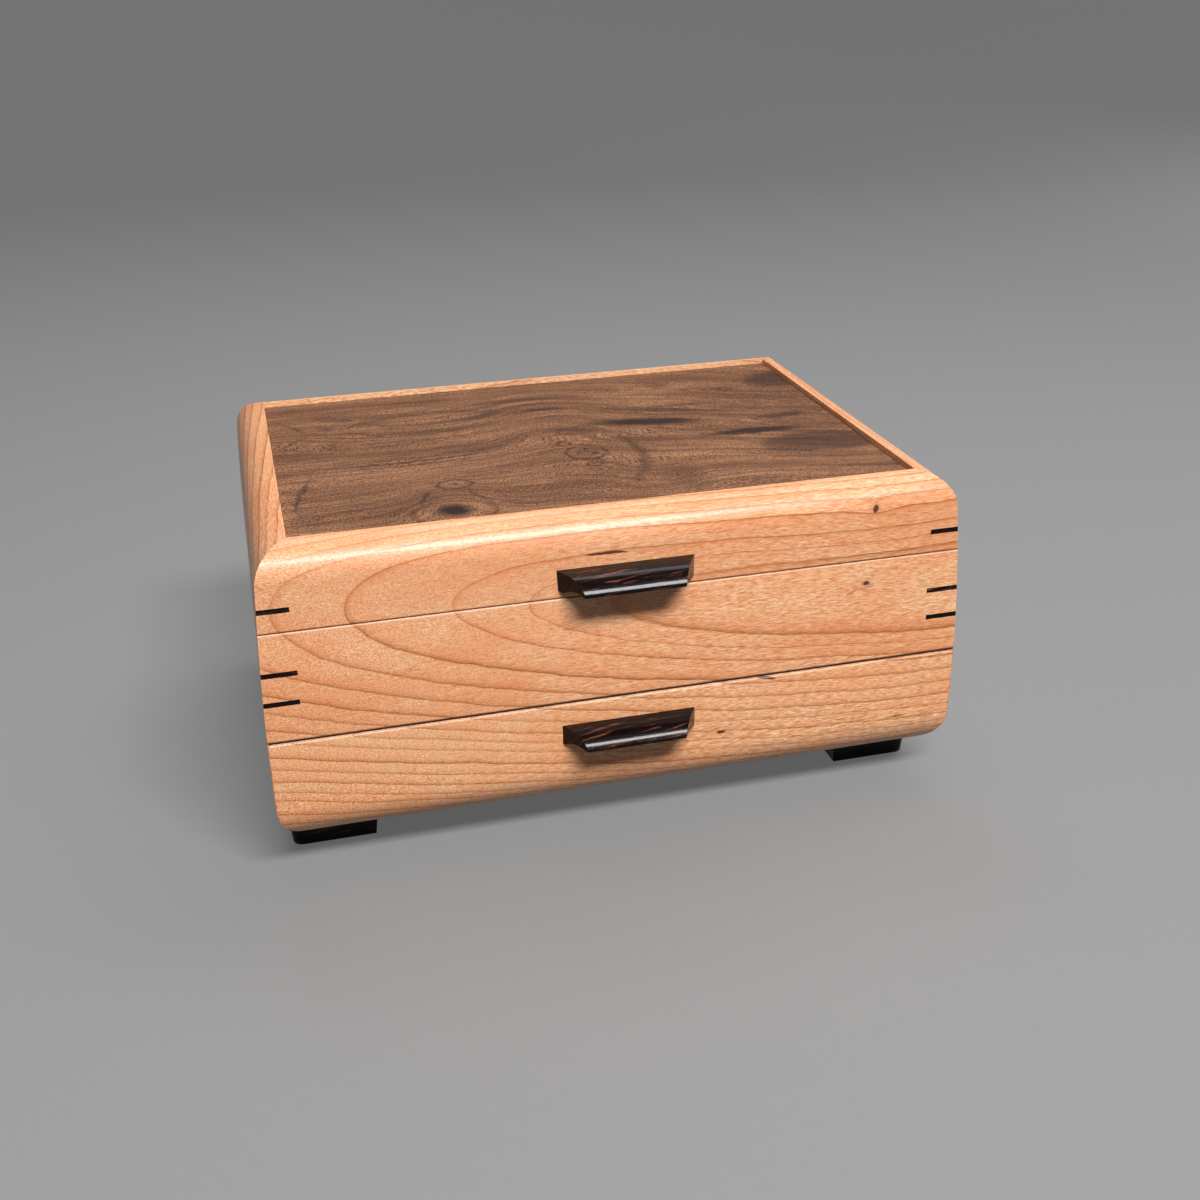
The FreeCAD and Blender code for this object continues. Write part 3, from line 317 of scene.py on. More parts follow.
# How often the bands of a wandering figure bend, how many thin lines go on one band, how far
# off in the noise those lines lie, the stretch of the bands' noise that is spread out, and how
# far the lines' noise goes from its middle before they fade
BEND_RATE = 2.4
LINES_PER_BAND = 3.2
LINES_APART = 4.0
BAND_SPREAD = (0.36, 0.64)
THIN_LINE = 0.06
# Place of the painted highlight on a seam's arris below the gap, as a share of the eased edge, and how
# narrow it is
ARRIS_PLACE = 0.6
ARRIS_NARROWNESS = 2.7
# Where the painted shade in a seam starts to fade, and where it is gone, as shares of the eased edge
SEAM_SHADE_FADE = (0.06, 0.22)
# How clouds and grit share in a rubbed finish, and what its fibres and pores add to it
CLOUD_SHARE = 1.4
GRIT_SHARE = 0.6
FIBRE_HEIGHT = 0.6
PORE_ROUGHNESS = 0.12


@cache
def growth_rings() -> Tree:
    """Build the rings of a log cut into a board.

    The pith runs beside the board. Its height and its distance in front of the face are
    cubics of the place along the board, in steps of 100 mm.

    Returns:
        The group, which puts out the season's darkening and the thin line that ends each
        ring.
    """
    terms = {"%s_%d" % (name, power): 0.0 for name in ("Height", "Depth") for power in POWERS}
    effect = Effect("Growth rings", Place=ORIGIN, **terms, Push=0.0, Line_Width=0.8)
    along, across, thick = effect["Place"].split()
    step = along * PER_STEP

    def cubic(name: str) -> tuple[Wire, Wire]:
        """Evaluate a cubic of the step.

        Args:
            name: Which of the group's cubics.

        Returns:
            Its value and its slope per millimetre.
        """
        constant, linear, square, cube = (effect["%s %d" % (name, power)] for power in POWERS)
        value = ((cube * step + square) * step + linear) * step + constant
        slope = (cube * 3.0 * step + square * 2.0) * step + linear
        return value, slope * PER_STEP

    pith, pith_slope = cubic("Height")
    depth, depth_slope = cubic("Depth")
    waver = effect["Place"].stretch(RING_WAVER_RATE).noise(detail=6.0, roughness=0.62) - 0.5
    rise = across + waver * (2.0 * RING_WAVER) - pith
    behind = depth + thick
    radius = (behind * behind + rise * rise).math("SQRT")
    # Steepness of the radius over the face keeps the lines equally wide everywhere
    steep_up = rise / radius
    steep_along = (behind * depth_slope - rise * pith_slope) / radius
    steep = (steep_up * steep_up + steep_along * steep_along).math("SQRT").math("MAXIMUM", FLATTEST)
    radius = radius + effect["Push"]
    first, year, strength, begun = RING_FIRST, 0.0, 0.0, 1.0
    for run in RING_RUNS:
        last = run[-1][0] + RING_EDGE
        share = radius.remap(first, last)
        stops, steps = [(0.0, 0.0)], [(0.0, run[0][1])]
        for (ring, _), (_, coming) in zip(run, (*run[1:], (last, 0.0))):
            end = (ring + RING_EDGE - first) / (last - first)
            stops += [((ring - first) / (last - first), 1.0), (end, 0.0)]
            steps.append((end, coming))
        year = share.ramp(stops) + year
        strength = share.ramp(steps, stepped=True) * begun + strength
        begun = radius.math("GREATER_THAN", last)
        first = last
    to_line = (year * -RING_PITCH + RING_PITCH) / steep
    line = (-(to_line / effect["Line Width"])).math("EXPONENT") * strength
    season = (to_line * -SEASON_FADE).math("EXPONENT") * strength
    return effect.close(Season=season, Line=line)


@cache
def wood_fibre() -> Tree:
    """Build the fine texture along a board: long streaks, short flecks, pores and mottling.

    "Level" is the height across the grain, which the texture follows. "Runout" is 1 where
    the fibres dive into the face and show as short dots, and 0 where they lie along it.

    Returns:
        The group, with values from 0 to 1.
    """
    effect = Effect("Wood fibre", Place=ORIGIN, Level=0.0, Length=12.0, Fineness=1.0, Runout=0.0)
    along, _, thick = effect["Place"].split()
    drift = effect["Place"].stretch(FIBRE_DRIFT_RATE).noise() * FIBRE_DRIFT
    rows = (drift + effect["Level"]) * effect["Fineness"]
    layers = thick * effect["Fineness"]
    drawn = along / effect["Length"]
    streak = effect.join(drawn, rows * STREAK_ROWS, layers).noise(detail=3.0, roughness=0.6)
    dash, dot = (effect.join(drawn * rate, rows, layers).noise(scale=1.2, roughness=0.6)
                 for rate in (FLECK_RATE, DOT_RATE))
    fleck = dash + (dot - dash) * effect["Runout"]
    pits = effect.join(drawn * PORE_RATE, rows, layers).noise(scale=2.1, detail=1.0, roughness=0.4)
    mottle = effect["Place"].stretch(MOTTLE_RATE).noise(detail=3.0, roughness=0.55, distortion=0.8)
    return effect.close(Streak=streak.remap(*STREAK_SPREAD), Fleck=fleck.remap(*FLECK_SPREAD),
                        Pore=pits.remap(*PORE_SPREAD), Mottle=mottle.remap(*MOTTLE_SPREAD))


@cache
def wavy_figure() -> Tree:
    """Build the bands of a board sawn along its rings, which wander and bend round knots.

    Returns:
        The group, with broad bands, thin lines and the level across the grain that they
        follow.
    """
    effect = Effect("Wavy figure", Place=ORIGIN, Push=0.0, Length=80.0, Breadth=12.0, Wander=6.0)
    along, across, thick = effect["Place"].split()
    drawn = along / effect["Length"]
    bend = effect.join(drawn * BEND_RATE, across / effect["Breadth"], 0.0)
    wander = (bend.noise(scale=0.5, detail=3.0) - 0.5) * effect["Wander"]
    level = wander + across + effect["Push"]
    rows = (level + thick) / effect["Breadth"]
    band = effect.join(drawn, rows, 0.0).noise(detail=4.0, roughness=0.62)
    thin = effect.join(drawn, rows * LINES_PER_BAND, LINES_APART).noise(detail=3.0, roughness=0.55)
    line = (thin - 0.5).math("ABSOLUTE").remap(0.0, THIN_LINE, 1.0, 0.0)
    return effect.close(Band=band.remap(*BAND_SPREAD), Line=line, Level=level)


@cache
def placed_mark() -> Tree:
    """Build one soft-edged oval mark at a place on a board's face.

    "Bend" lifts both of its ends by so much, and "Sway" lifts one and drops the other.

    Returns:
        The group, with a filled mask, the oval's thin rim and the swelling that turns the
        grain around the mark.
    """
    effect = Effect("Placed mark", Place=ORIGIN, Centre=ORIGIN, Size=(1.0, 1.0, 1.0), Tilt=0.0, Bend=0.0,
                    Sway=0.0, Softness=0.5, Rim_Width=1.0)
    along, across, thick = effect["Place"].vector_math("SUBTRACT", effect["Centre"]).split()
    length, breadth, depth = effect["Size"].split()
    cosine, sine = (effect["Tilt"].math(part) for part in ("COSINE", "SINE"))
    share = (along * cosine + across * sine) / length
    curl = (share * effect["Sway"] + effect["Bend"]) * (share * share)
    lift = across * cosine - along * sine - curl
    apart = effect.join(share, lift / breadth, thick / depth).vector_math("LENGTH", output="Value")
    mask = apart.remap(-effect["Softness"] + 1.0, 1.0, 1.0, 0.0, kind="SMOOTHSTEP")
    rim = ((apart - 1.0) * breadth / effect["Rim Width"]).bell()
    return effect.close(Mask=mask, Rim=rim, Swelling=apart.bell())


@cache
def eased_seam() -> Tree:
    """Build the eased edges of two boards that meet at a level seam, with painted shade and a painted
    highlight.

    Returns:
        The group, with a height that falls off towards the seam, the painted shade inside the seam and the
        painted highlight on the arris below it.
    """
    effect = Effect("Eased seam", Level=0.0, Seam=0.0, Half_Gap=0.2, Ease=0.8)
    half_gap, ease = effect["Half Gap"], effect["Ease"]
    above = effect["Level"] - effect["Seam"]
    share = (above.math("ABSOLUTE") - half_gap) / ease
    near = share.remap(0.0, 1.0, 1.0, 0.0)
    from_arris = (above + half_gap + ease * ARRIS_PLACE) / ease
    # Besides the height: painted shade inside the gap, and a painted highlight on the arris below it
    return effect.close(Height=-(near * near), Grime=share.remap(*SEAM_SHADE_FADE, 1.0, 0.0),
                        Rubbed=(from_arris * ARRIS_NARROWNESS).bell())


@cache
def rubbed_finish() -> Tree:
    """Build a hand-rubbed surface: uneven gloss and a faint relief.

    Returns:
        The group, with a roughness and a height.
    """
    effect = Effect("Rubbed finish", Place=ORIGIN, Roughness=0.4, Unevenness=0.08, Fibre=0.0, Pores=0.0)
    cloud = effect["Place"].noise(scale=0.045, detail=3.0, roughness=0.6)
    grit = effect["Place"].noise(scale=1.3)
    uneven = cloud * CLOUD_SHARE + grit * GRIT_SHARE - (CLOUD_SHARE + GRIT_SHARE) / 2.0
    rough = uneven * effect["Unevenness"] + effect["Roughness"] + effect["Pores"] * PORE_ROUGHNESS
    return effect.close(Roughness=rough, Height=effect["Fibre"] * FIBRE_HEIGHT - effect["Pores"])


@cache
def cross_recess() -> Tree:
    """Build the cross recesses of a row of screws that stand at an even spacing.

    Returns:
        The group, with a mask that is 1 inside each recess.
    """
    effect = Effect("Cross recess", Place=ORIGIN, Middle=ORIGIN, Centre=ORIGIN, Spacing=11.0, Arm=1.1,
                    Width=0.3)
    apart = effect["Place"].vector_math("SUBTRACT", effect["Middle"]).vector_math("ABSOLUTE")
    along, across, _ = apart.vector_math("SUBTRACT", effect["Centre"]).split()
    half = effect["Spacing"] * 0.5
    folded = (along + half).math("FLOORED_MODULO", effect["Spacing"]) - half
    near, far = folded.math("ABSOLUTE"), across.math("ABSOLUTE")
    thin = near.math("MINIMUM", far).math("LESS_THAN", effect["Width"])
    short = near.math("MAXIMUM", far).math("LESS_THAN", effect["Arm"])
    return effect.close(Mask=thin * short)


# ------------------------------------------------------------------ finishes

class Grain(Enum):
    """The axes that a board's length, breadth and thickness lie along."""

    WIDTH = (0, 2, 1)
    DEPTH = (1, 2, 0)
    WIDTH_FLAT = (0, 1, 2)
    DEPTH_FLAT = (1, 0, 2)


@dataclass(frozen=True)
class Cut:
    """How a board lies in its log, in millimetres.

    Attributes:
        grain: Axes of the board's length, breadth and thickness.
        signs: Direction of each of those axes.
        origin: Added to the place along each of those axes.
        height: Cubic of the pith's height along the board.
        depth: Cubic of the pith's distance in front of the face.
        runout: Places along the board where the fibres are dots and where they lie flat.
    """

    grain: Grain
    signs: Triple = (1.0, 1.0, 1.0)
    origin: Triple = ORIGIN
    height: tuple[float, float, float, float] = (126.42, -12.33, 0.92, 1.19)
    depth: tuple[float, float, float, float] = (60.2, -4.27, 2.4, -0.68)
    runout: tuple[float, float] = (-150.0, 40.0)

    def place(self, graph: Graph) -> Wire:
        """Return the place on the board, length first."""
        axes = graph.place().split()
        return graph.join(*(axes[axis] * sign + start
                            for axis, sign, start in zip(self.grain.value, self.signs, self.origin)))


# Half thickness of a mark in mm, which goes right through its board
ANY_DEPTH = 1000.0


@dataclass(frozen=True)
class Mark:
    """A knot, streak or stain on a board, in the board's own millimetres.

    Attributes:
        along: Place along the board.
        across: Place over its breadth.
        size: Half length and half breadth.
        dark: How much it darkens the wood, or lightens it where below 0.
        tilt: Turn in degrees.
        bend: How far both of its ends are lifted.
        sway: How far one end is lifted and the other dropped.
        push: How far it bends the grain.
        softness: Share of the radius over which it fades.
        rim: How much its thin outline darkens the wood.
        rim_width: Half width of that outline.
    """

    along: float
    across: float
    size: tuple[float, float]
    dark: float = 0.0
    tilt: float = 0.0
    bend: float = 0.0
    sway: float = 0.0
    push: float = 0.0
    softness: float = 0.9
    rim: float = 0.0
    rim_width: float = 0.8


@dataclass(frozen=True)
class Figure:
    """The wandering figure of a board sawn along its rings, in millimetres.

    Attributes:
        length: Stretch of the bands along the grain.
        breadth: Mean breadth of a band.
        wander: How far the bands wander sideways.
        slope: How steeply they run off the board's length.
    """

    length: float
    breadth: float
    wander: float
    slope: float = 0.0


@dataclass(frozen=True)
class Seams:
    """The level seams between the boards, with painted shade in them and a painted highlight below them, in
    millimetres.

    Attributes:
        levels: Height of each seam and half of its gap.
        drop: How far the eased edges fall.
        painted_seam_shade: Colour painted inside the seams as their shade.
        painted_arris_highlight: Colour of the painted highlight on the arrises below the seams.
        arris_highlight_share: How much of that painted highlight shows.
    """

    levels: tuple[tuple[float, float], ...]
    drop: float = 0.3
    # Colours of the painted shade in the seams and of the painted highlight on the arrises below them
    painted_seam_shade: Colour = (0.030, 0.014, 0.008)
    painted_arris_highlight: Colour = (1.0, 0.88, 0.72)
    arris_highlight_share: float = 0.3


@dataclass(frozen=True)
class Timber:
    """The colours and surface of one wood.

    Attributes:
        light: Colour of the fast spring growth.
        deep: Colour that the season darkens to.
        line: Colour of the ring's end.
        fleck: Colour of the fibres' short flecks.
        pore: Colour of the open pores.
        season: Strength of the seasonal darkening.
        lines: Strength of the ring ends.
        flecks: Strength of the short flecks.
        mark: Colour of knots and stains.
        streaks: Strength of the long streaks.
        pores: Strength of the pores.
        mottle: Strength of the broad colour change.
        fibre_length: Stretch of the fibres in millimetres.
        fineness: Fibres per millimetre.
        line_width: Width of the ring ends in millimetres.
        breaks: What a ring's end keeps between the flecks, and what it gains on one.
        roughness: Mean roughness.
        gloss: Specular level of the finish.
        coat: Weight of the clear coat.
        coat_roughness: Its roughness.
        relief: Height of the fibres' relief in millimetres.
        rag: How uneven the outlines of marks are, in millimetres.
        rags: How often those outlines bend per millimetre.
        figure: How wandering bands run, or None for rings about a pith.
        seams: The seams whose edges are eased, with painted shade and highlight, or None.
    """

    light: Colour
    deep: Colour
    line: Colour
    fleck: Colour
    pore: Colour
    season: float
    lines: float
    flecks: float
    mark: Colour = ORIGIN
    streaks: float = 0.6
    pores: float = 0.5
    mottle: float = 0.3
    fibre_length: float = 12.0
    fineness: float = 2.0
    line_width: float = 0.9
    breaks: tuple[float, float] = (0.6, 0.6)
    roughness: float = 0.45
    gloss: float = 0.5
    coat: float = 0.0
    coat_roughness: float = 0.18
    relief: float = 0.03
    rag: float = 1.0
    rags: float = 0.16
    figure: Union[Figure, None] = None
    seams: Union[Seams, None] = None

    def lay_marks(self, place: Wire, marks: Sequence[Mark]) -> tuple[Feed, Feed, Feed]:
        """Place every mark.

        Args:
            place: The place on the board.
            marks: The marks.

        Returns:
            How far they bend the grain, how much they darken it and how much they lighten
            it, each 0 where none of them does.
        """
        push, dark, pale = 0.0, 0.0, 0.0
        ragged = place.waver(self.rag, self.rags) if marks else place
        for mark in marks:
            spot = place.graph.group(placed_mark, Place=ragged, Centre=(mark.along, mark.across, 0.0),
                                     Size=(*mark.size, ANY_DEPTH), Tilt=math.radians(mark.tilt),
                                     Bend=mark.bend, Sway=mark.sway, Softness=mark.softness,
                                     Rim_Width=mark.rim_width)
            if mark.push:
                push = spot["Swelling"] * mark.push + push
            if mark.dark < 0.0:
                pale = (spot["Mask"] * -mark.dark).math("MAXIMUM", pale)
            for output, strength in (("Mask", mark.dark), ("Rim", mark.rim)):
                if strength > 0.0:
                    dark = (spot[output] * strength).math("MAXIMUM", dark)
        return push, dark, pale

    def grow(self, cut: Cut, place: Wire, push: Feed) -> tuple[Wire, Wire, Wire]:
        """Lay the year's growth over the board.

        Args:
            cut: How the board lies in its log.
            place: The place on the board.
            push: How far marks bend the grain.

        Returns:
            The season's darkening, the ring ends and the level that the fibres follow.
        """
        along, across, _ = place.split()
        if self.figure:
            grown = place.graph.group(wavy_figure, Place=place, Push=along * self.figure.slope + push,
                                      Length=self.figure.length, Breadth=self.figure.breadth,
                                      Wander=self.figure.wander)
            return grown["Band"], grown["Line"], grown["Level"]
        terms = {"Height_%d" % power: cut.height[power] for power in POWERS}
        terms.update({"Depth_%d" % power: cut.depth[power] for power in POWERS})
        grown = place.graph.group(growth_rings, Place=place, Push=push, Line_Width=self.line_width, **terms)
        return grown["Season"], grown["Line"], across

    def ease(self, graph: Graph, colour: Wire, relief: Wire) -> tuple[Wire, Wire]:
        """Ease the boards' edges at the seams, and paint shade into the seams and a highlight on the arrises
        below them.

        Args:
            graph: The material's graph.
            colour: The board's colour.
            relief: The board's relief.

        Returns:
            The colour with that painted shade and highlight, and the relief with the edges eased.
        """
        level = graph.place().split()[2]
        upward = graph.wire("TexCoord", {}, "Normal").split()[2].math("ABSOLUTE")
        upright = upward.remap(*FACING_UP, 1.0, 0.0)
        for seam, half_gap in self.seams.levels:
            edge = graph.group(eased_seam, Level=level, Seam=seam, Half_Gap=half_gap)
            relief = edge["Height"] * self.seams.drop + relief
            # Painted highlight on the arris below the seam, then painted shade inside its gap, on upright
            # faces only
            colour = (edge["Rubbed"] * upright * self.seams.arris_highlight_share).blend(colour, self.seams.painted_arris_highlight)
            colour = (edge["Grime"] * upright).blend(colour, self.seams.painted_seam_shade)
        return colour, relief

    def material(self, name: str, cut: Cut, marks: Sequence[Mark] = ()) -> bpy.types.Material:
        """Make the finish of one board.

        Args:
            name: The material's name.
            cut: How the board lies in its log.
            marks: Knots, streaks and stains on it.

        Returns:
            The material.
        """
        surface = Surface(name)
        place = cut.place(surface)
        push, dark, pale = self.lay_marks(place, marks)
        season, line, level = self.grow(cut, place, push)
        runout = place.split()[0].remap(*cut.runout, 1.0, 0.0)
        fibre = surface.group(wood_fibre, Place=place, Level=level, Length=self.fibre_length,
                              Fineness=self.fineness, Runout=runout)
        grown = (season * self.season).math("ADD", fibre["Mottle"] * self.mottle, clamp=True)
        kept, gained = self.breaks
        broken = (fibre["Fleck"] * gained).math("ADD", kept, clamp=True)
        pores = fibre["Pore"] * self.pores
        colour = grown.blend(self.light, self.deep)
        layers = ((pale, self.light), (fibre["Streak"] * self.streaks, self.deep),
                  (fibre["Fleck"] * self.flecks, self.fleck), (line * self.lines * broken, self.line),
                  (pores, self.pore), (dark, self.mark))
        for share, tint in layers:
            if isinstance(share, Wire):
                colour = share.blend(colour, tint)
        finish = surface.group(rubbed_finish, Place=place, Roughness=self.roughness,
                               Fibre=fibre["Streak"], Pores=pores)
        relief = finish["Height"] * self.relief
        if self.seams:
            colour, relief = self.ease(surface, colour, relief)
        surface.set(Base_Color=colour, Roughness=finish["Roughness"], Specular_IOR_Level=self.gloss,
                    Coat_Weight=self.coat, Coat_Roughness=self.coat_roughness)
        surface.bump(relief)
        return surface.material


# Heights of the seams at the drawer and at the lid in mm, with half of each gap, which also sets how wide
# the painted shade in it is
DRAWER_SEAM = (76.4, 0.75)
LID_SEAM = (130.0, 0.2)

CHERRY = Timber(
    light=(1.0, 0.73, 0.445), deep=(0.84, 0.33, 0.140), line=(0.23, 0.078, 0.014),
    fleck=(0.62, 0.200, 0.070), pore=(0.34, 0.110, 0.035), mark=(0.10, 0.027, 0.009), season=0.74, lines=1.3,
    flecks=0.95, pores=0.6, mottle=0.5, line_width=0.8, roughness=0.42, gloss=0.45, coat=0.14,
    seams=Seams((DRAWER_SEAM, LID_SEAM)))
# The wood of the sides and the back, which only the lid's seam crosses
SIDE_CHERRY = replace(CHERRY, seams=Seams((LID_SEAM,)))
WALNUT = Timber(
    light=(0.60, 0.295, 0.152), deep=(0.120, 0.054, 0.029), line=(0.050, 0.022, 0.015),
    fleck=(0.080, 0.034, 0.020), pore=(0.035, 0.016, 0.011), mark=(0.030, 0.015, 0.012), season=0.60,
    lines=0.65, streaks=0.55, flecks=0.85, pores=1.0, fibre_length=10.0, fineness=0.55, roughness=0.55,
    gloss=0.10, rag=3.6, figure=Figure(170.0, 13.0, 20.0))
WENGE = Timber(
    light=(0.26, 0.080, 0.042), deep=(0.004, 0.002, 0.002), line=(0.003, 0.0015, 0.0015),
    fleck=(0.010, 0.004, 0.003), pore=(0.002, 0.001, 0.001), season=3.0, lines=0.7, flecks=0.5,
    fibre_length=10.0, fineness=1.3, roughness=0.20, gloss=0.04, coat=0.22, coat_roughness=0.07, relief=0.08,
    figure=Figure(26.0, 2.2, 4.0, -0.16))
MAPLE = Timber(
    light=(0.78, 0.58, 0.38), deep=(0.69, 0.47, 0.28), line=(0.55, 0.35, 0.20), fleck=(0.58, 0.38, 0.22),
    pore=(0.50, 0.32, 0.19), season=0.45, lines=0.3, streaks=0.3, flecks=0.25, pores=0.1)
BIRCH_PLY = replace(MAPLE, light=(0.74, 0.57, 0.38), deep=(0.64, 0.46, 0.28), lines=0.15,
                    figure=Figure(150.0, 22.0, 30.0), roughness=0.55)


@dataclass(frozen=True)
class ScrewRow:
    """Where screws stand on each side of the box, in millimetres.

    Attributes:
        grain: The axes along the row, across it and along the screws.
        centre: Place of one screw from the middle, on the positive sides of the box.
        spacing: Distance between two screws.
        arm: Half length of a recess.
        width: Half width of its slots.
        middle: The place that the rows mirror about.
    """

    grain: Grain
    centre: Triple
    spacing: float
    arm: float
    width: float
    middle: Triple = ORIGIN


@dataclass(frozen=True)
class Metal:
    """A small fitting's metal.

    Attributes:
        tint: Its colour.
        roughness: Its mean roughness.
        unevenness: How far its roughness varies.
        brushing: Brush marks per millimetre along and across.
        dull: Share of the colour that is left in the brush marks.
        relief: Depth of the brush marks in millimetres.
        screws: The screws whose recesses it shows, or None.
        recess_painted_shade: Share of the colour that is left in the recesses, as painted shade in them.
        recess_depth: Their depth in millimetres.
    """

    tint: Colour
    roughness: float
    unevenness: float = 0.12
    brushing: Triple = (0.6, 9.0, 9.0)
    dull: float = 0.72
    relief: float = 0.01
    screws: Union[ScrewRow, None] = None
    recess_painted_shade: float = 0.08
    recess_depth: float = 0.4

    def recesses(self, place: Wire) -> Wire:
        """Return a mask of the screws' recesses.

        Args:
            place: The place in the box.

        Returns:
            The mask, which is 1 inside a recess.
        """
        row = self.screws
        axes = place.split()
        turned = place.graph.join(*(axes[axis] for axis in row.grain.value))
        recess = place.graph.group(cross_recess, Place=turned, Middle=row.middle, Centre=row.centre,
                                   Spacing=row.spacing, Arm=row.arm, Width=row.width)
        return recess["Mask"]

    def material(self, name: str) -> bpy.types.Material:
        """Make the metal with fine brushing, uneven gloss and the screws' recesses, with painted shade in
        the recesses.

        Args:
            name: The material's name.

        Returns:
            The material.
        """
        surface = Surface(name)
        place = surface.place()
        brushed = place.stretch(self.brushing).noise(detail=3.0, roughness=0.6)
        colour = brushed.remap(*STREAK_SPREAD).blend(shade(self.tint, self.dull), self.tint)
        finish = surface.group(rubbed_finish, Place=place, Roughness=self.roughness,
                               Unevenness=self.unevenness, Fibre=brushed)
        relief = finish["Height"] * self.relief
        if self.screws:
            recess = self.recesses(place)
            # Painted shade in the screws' recesses
            colour = recess.blend(colour, shade(self.tint, self.recess_painted_shade))
            relief = relief - recess * self.recess_depth
        surface.set(Base_Color=colour, Roughness=finish["Roughness"], Metallic=1.0)
        surface.bump(relief)
        return surface.material


@dataclass(frozen=True)
class Felt:
    """The felted wool of the linings.

    Attributes:
        tint: Its colour.
        tones: Shares of the colour in its darkest and its lightest fibres.
        nap: How much the nap's broad change and the matted fibres lighten it.
        relief: Height of the fibres in millimetres.
        roughness: Its roughness.
        sheen: Weight of its sheen.
        sheen_roughness: Roughness of the sheen.
    """

    tint: Colour
    tones: tuple[float, float] = (0.55, 1.35)
    nap: tuple[float, float] = (0.6, 0.5)
    relief: float = 0.25
    roughness: float = 0.95
    sheen: float = 0.35
    sheen_roughness: float = 0.5

    def material(self, name: str) -> bpy.types.Material:
        """Make felt with matted fibres and a soft sheen.

        Args:
            name: The material's name.

        Returns:
            The material.
        """
        surface = Surface(name)
        place = surface.place()
        mat = place.noise(scale=2.2, detail=4.0, roughness=0.7, distortion=1.2)
        broad = place.noise(scale=0.09, detail=3.0, roughness=0.6)
        tone = (broad * self.nap[0]).math("ADD", mat * self.nap[1], clamp=True)
        surface.set(Base_Color=tone.blend(*(shade(self.tint, share) for share in self.tones)),
                    Roughness=self.roughness, Sheen_Weight=self.sheen, Sheen_Roughness=self.sheen_roughness)
        surface.bump(mat * self.relief)
        return surface.material


BRASS = Metal((0.78, 0.57, 0.26), roughness=0.28)
STEEL = Metal((0.62, 0.60, 0.58), roughness=0.3)
LINING = Felt((0.030, 0.028, 0.032))


# ------------------------------------------------------------------ the box

@dataclass
class SubAssembly:
    """A part of the box that is made and finished together.

    Attributes:
        arris: Radius of its small pieces' sanded edges in millimetres.
        arris_angle: Least angle in degrees of an edge that is sanded.
        arris_steps: Facets around a sanded edge.
        join: Distance in metres within which points are one.
    """

    arris: float = 0.3
    arris_angle: float = 35.0
    arris_steps: int = 2
    join: float = 1e-6

    def soften(self, node: bpy.types.Object) -> None:
        """Round a piece's arrises as sanding does.

        Args:
            node: The piece.
        """
        weld = node.modifiers.new("Joined faces", "WELD")
        weld.merge_threshold = self.join
        bevel = node.modifiers.new("Sanded arrises", "BEVEL")
        bevel.width = self.arris / MM_PER_METRE
        bevel.segments = self.arris_steps
        bevel.limit_method = "ANGLE"
        bevel.angle_limit = math.radians(self.arris_angle)
        bevel.harden_normals = True
        bevel.use_clamp_overlap = True

    def dress(self, names: Iterable[str], material: bpy.types.Material, sanded: bool = False) -> None:
        """Give CAD nodes a finish.

        Args:
            names: The nodes.
            material: Their finish.
            sanded: Whether their arrises are rounded.
        """
        for name in names:
            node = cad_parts[name]
            for slot in node.material_slots:
                slot.material = material
            if sanded:
                self.soften(node)
            LOG.info("%s: %s", name, material.name)

    def board(self, names: Union[str, Iterable[str]], wood: Timber, label: str, cut: Cut,
              marks: Sequence[Mark] = (), sanded: bool = False) -> None:
        """Give one or more nodes a wood's finish.

        Args:
            names: The nodes.
            wood: Their wood.
            label: The finish's name.
            cut: How they lie in their log.
            marks: Knots, streaks and stains on them.
            sanded: Whether their arrises are rounded.
        """
        names = [names] if isinstance(names, str) else names
        self.dress(names, wood.material(label, cut, marks), sanded)

    def both_sides(self, stem: str, label: str) -> None:
        """Give the left and the right side of the lid or the case their finish."""
        for side, cut in (("left", LEFT_CUT), ("right", RIGHT_CUT)):
            self.board("%s_%s" % (stem, side), SIDE_CHERRY, "cherry %s %s" % (label, side), cut)

    def starting(self, start: str, word: str = "", wanted: bool = True) -> list[str]:
        """Return the names that start so and hold a word, or don't hold it where it isn't wanted."""
        return [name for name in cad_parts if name.startswith(start) and (word in name) == wanted]


# Faces of the box in mm: the front and back where they are fullest, and the sides
FRONT_FACE = -119.42
BACK_FACE = 128.28
SIDE_FACE = 168.25

FRONT_CUT = Cut(Grain.WIDTH, origin=(0.0, 0.0, -FRONT_FACE))
BACK_CUT = Cut(Grain.WIDTH, signs=(-1.0, 1.0, -1.0), origin=(40.0, 6.0, BACK_FACE))
LEFT_CUT = Cut(Grain.DEPTH, signs=(-1.0, 1.0, 1.0), origin=(0.0, 0.0, SIDE_FACE),
               height=(100.0, -9.0, 3.0, 0.0), depth=(46.0, 3.0, 2.0, 0.0), runout=(-90.0, 60.0))
RIGHT_CUT = Cut(Grain.DEPTH, signs=(1.0, 1.0, -1.0), origin=(0.0, 0.0, SIDE_FACE),
                height=(92.0, -5.0, -3.0, 0.0), depth=(52.0, -6.0, 2.0, 0.0), runout=(-90.0, 60.0))

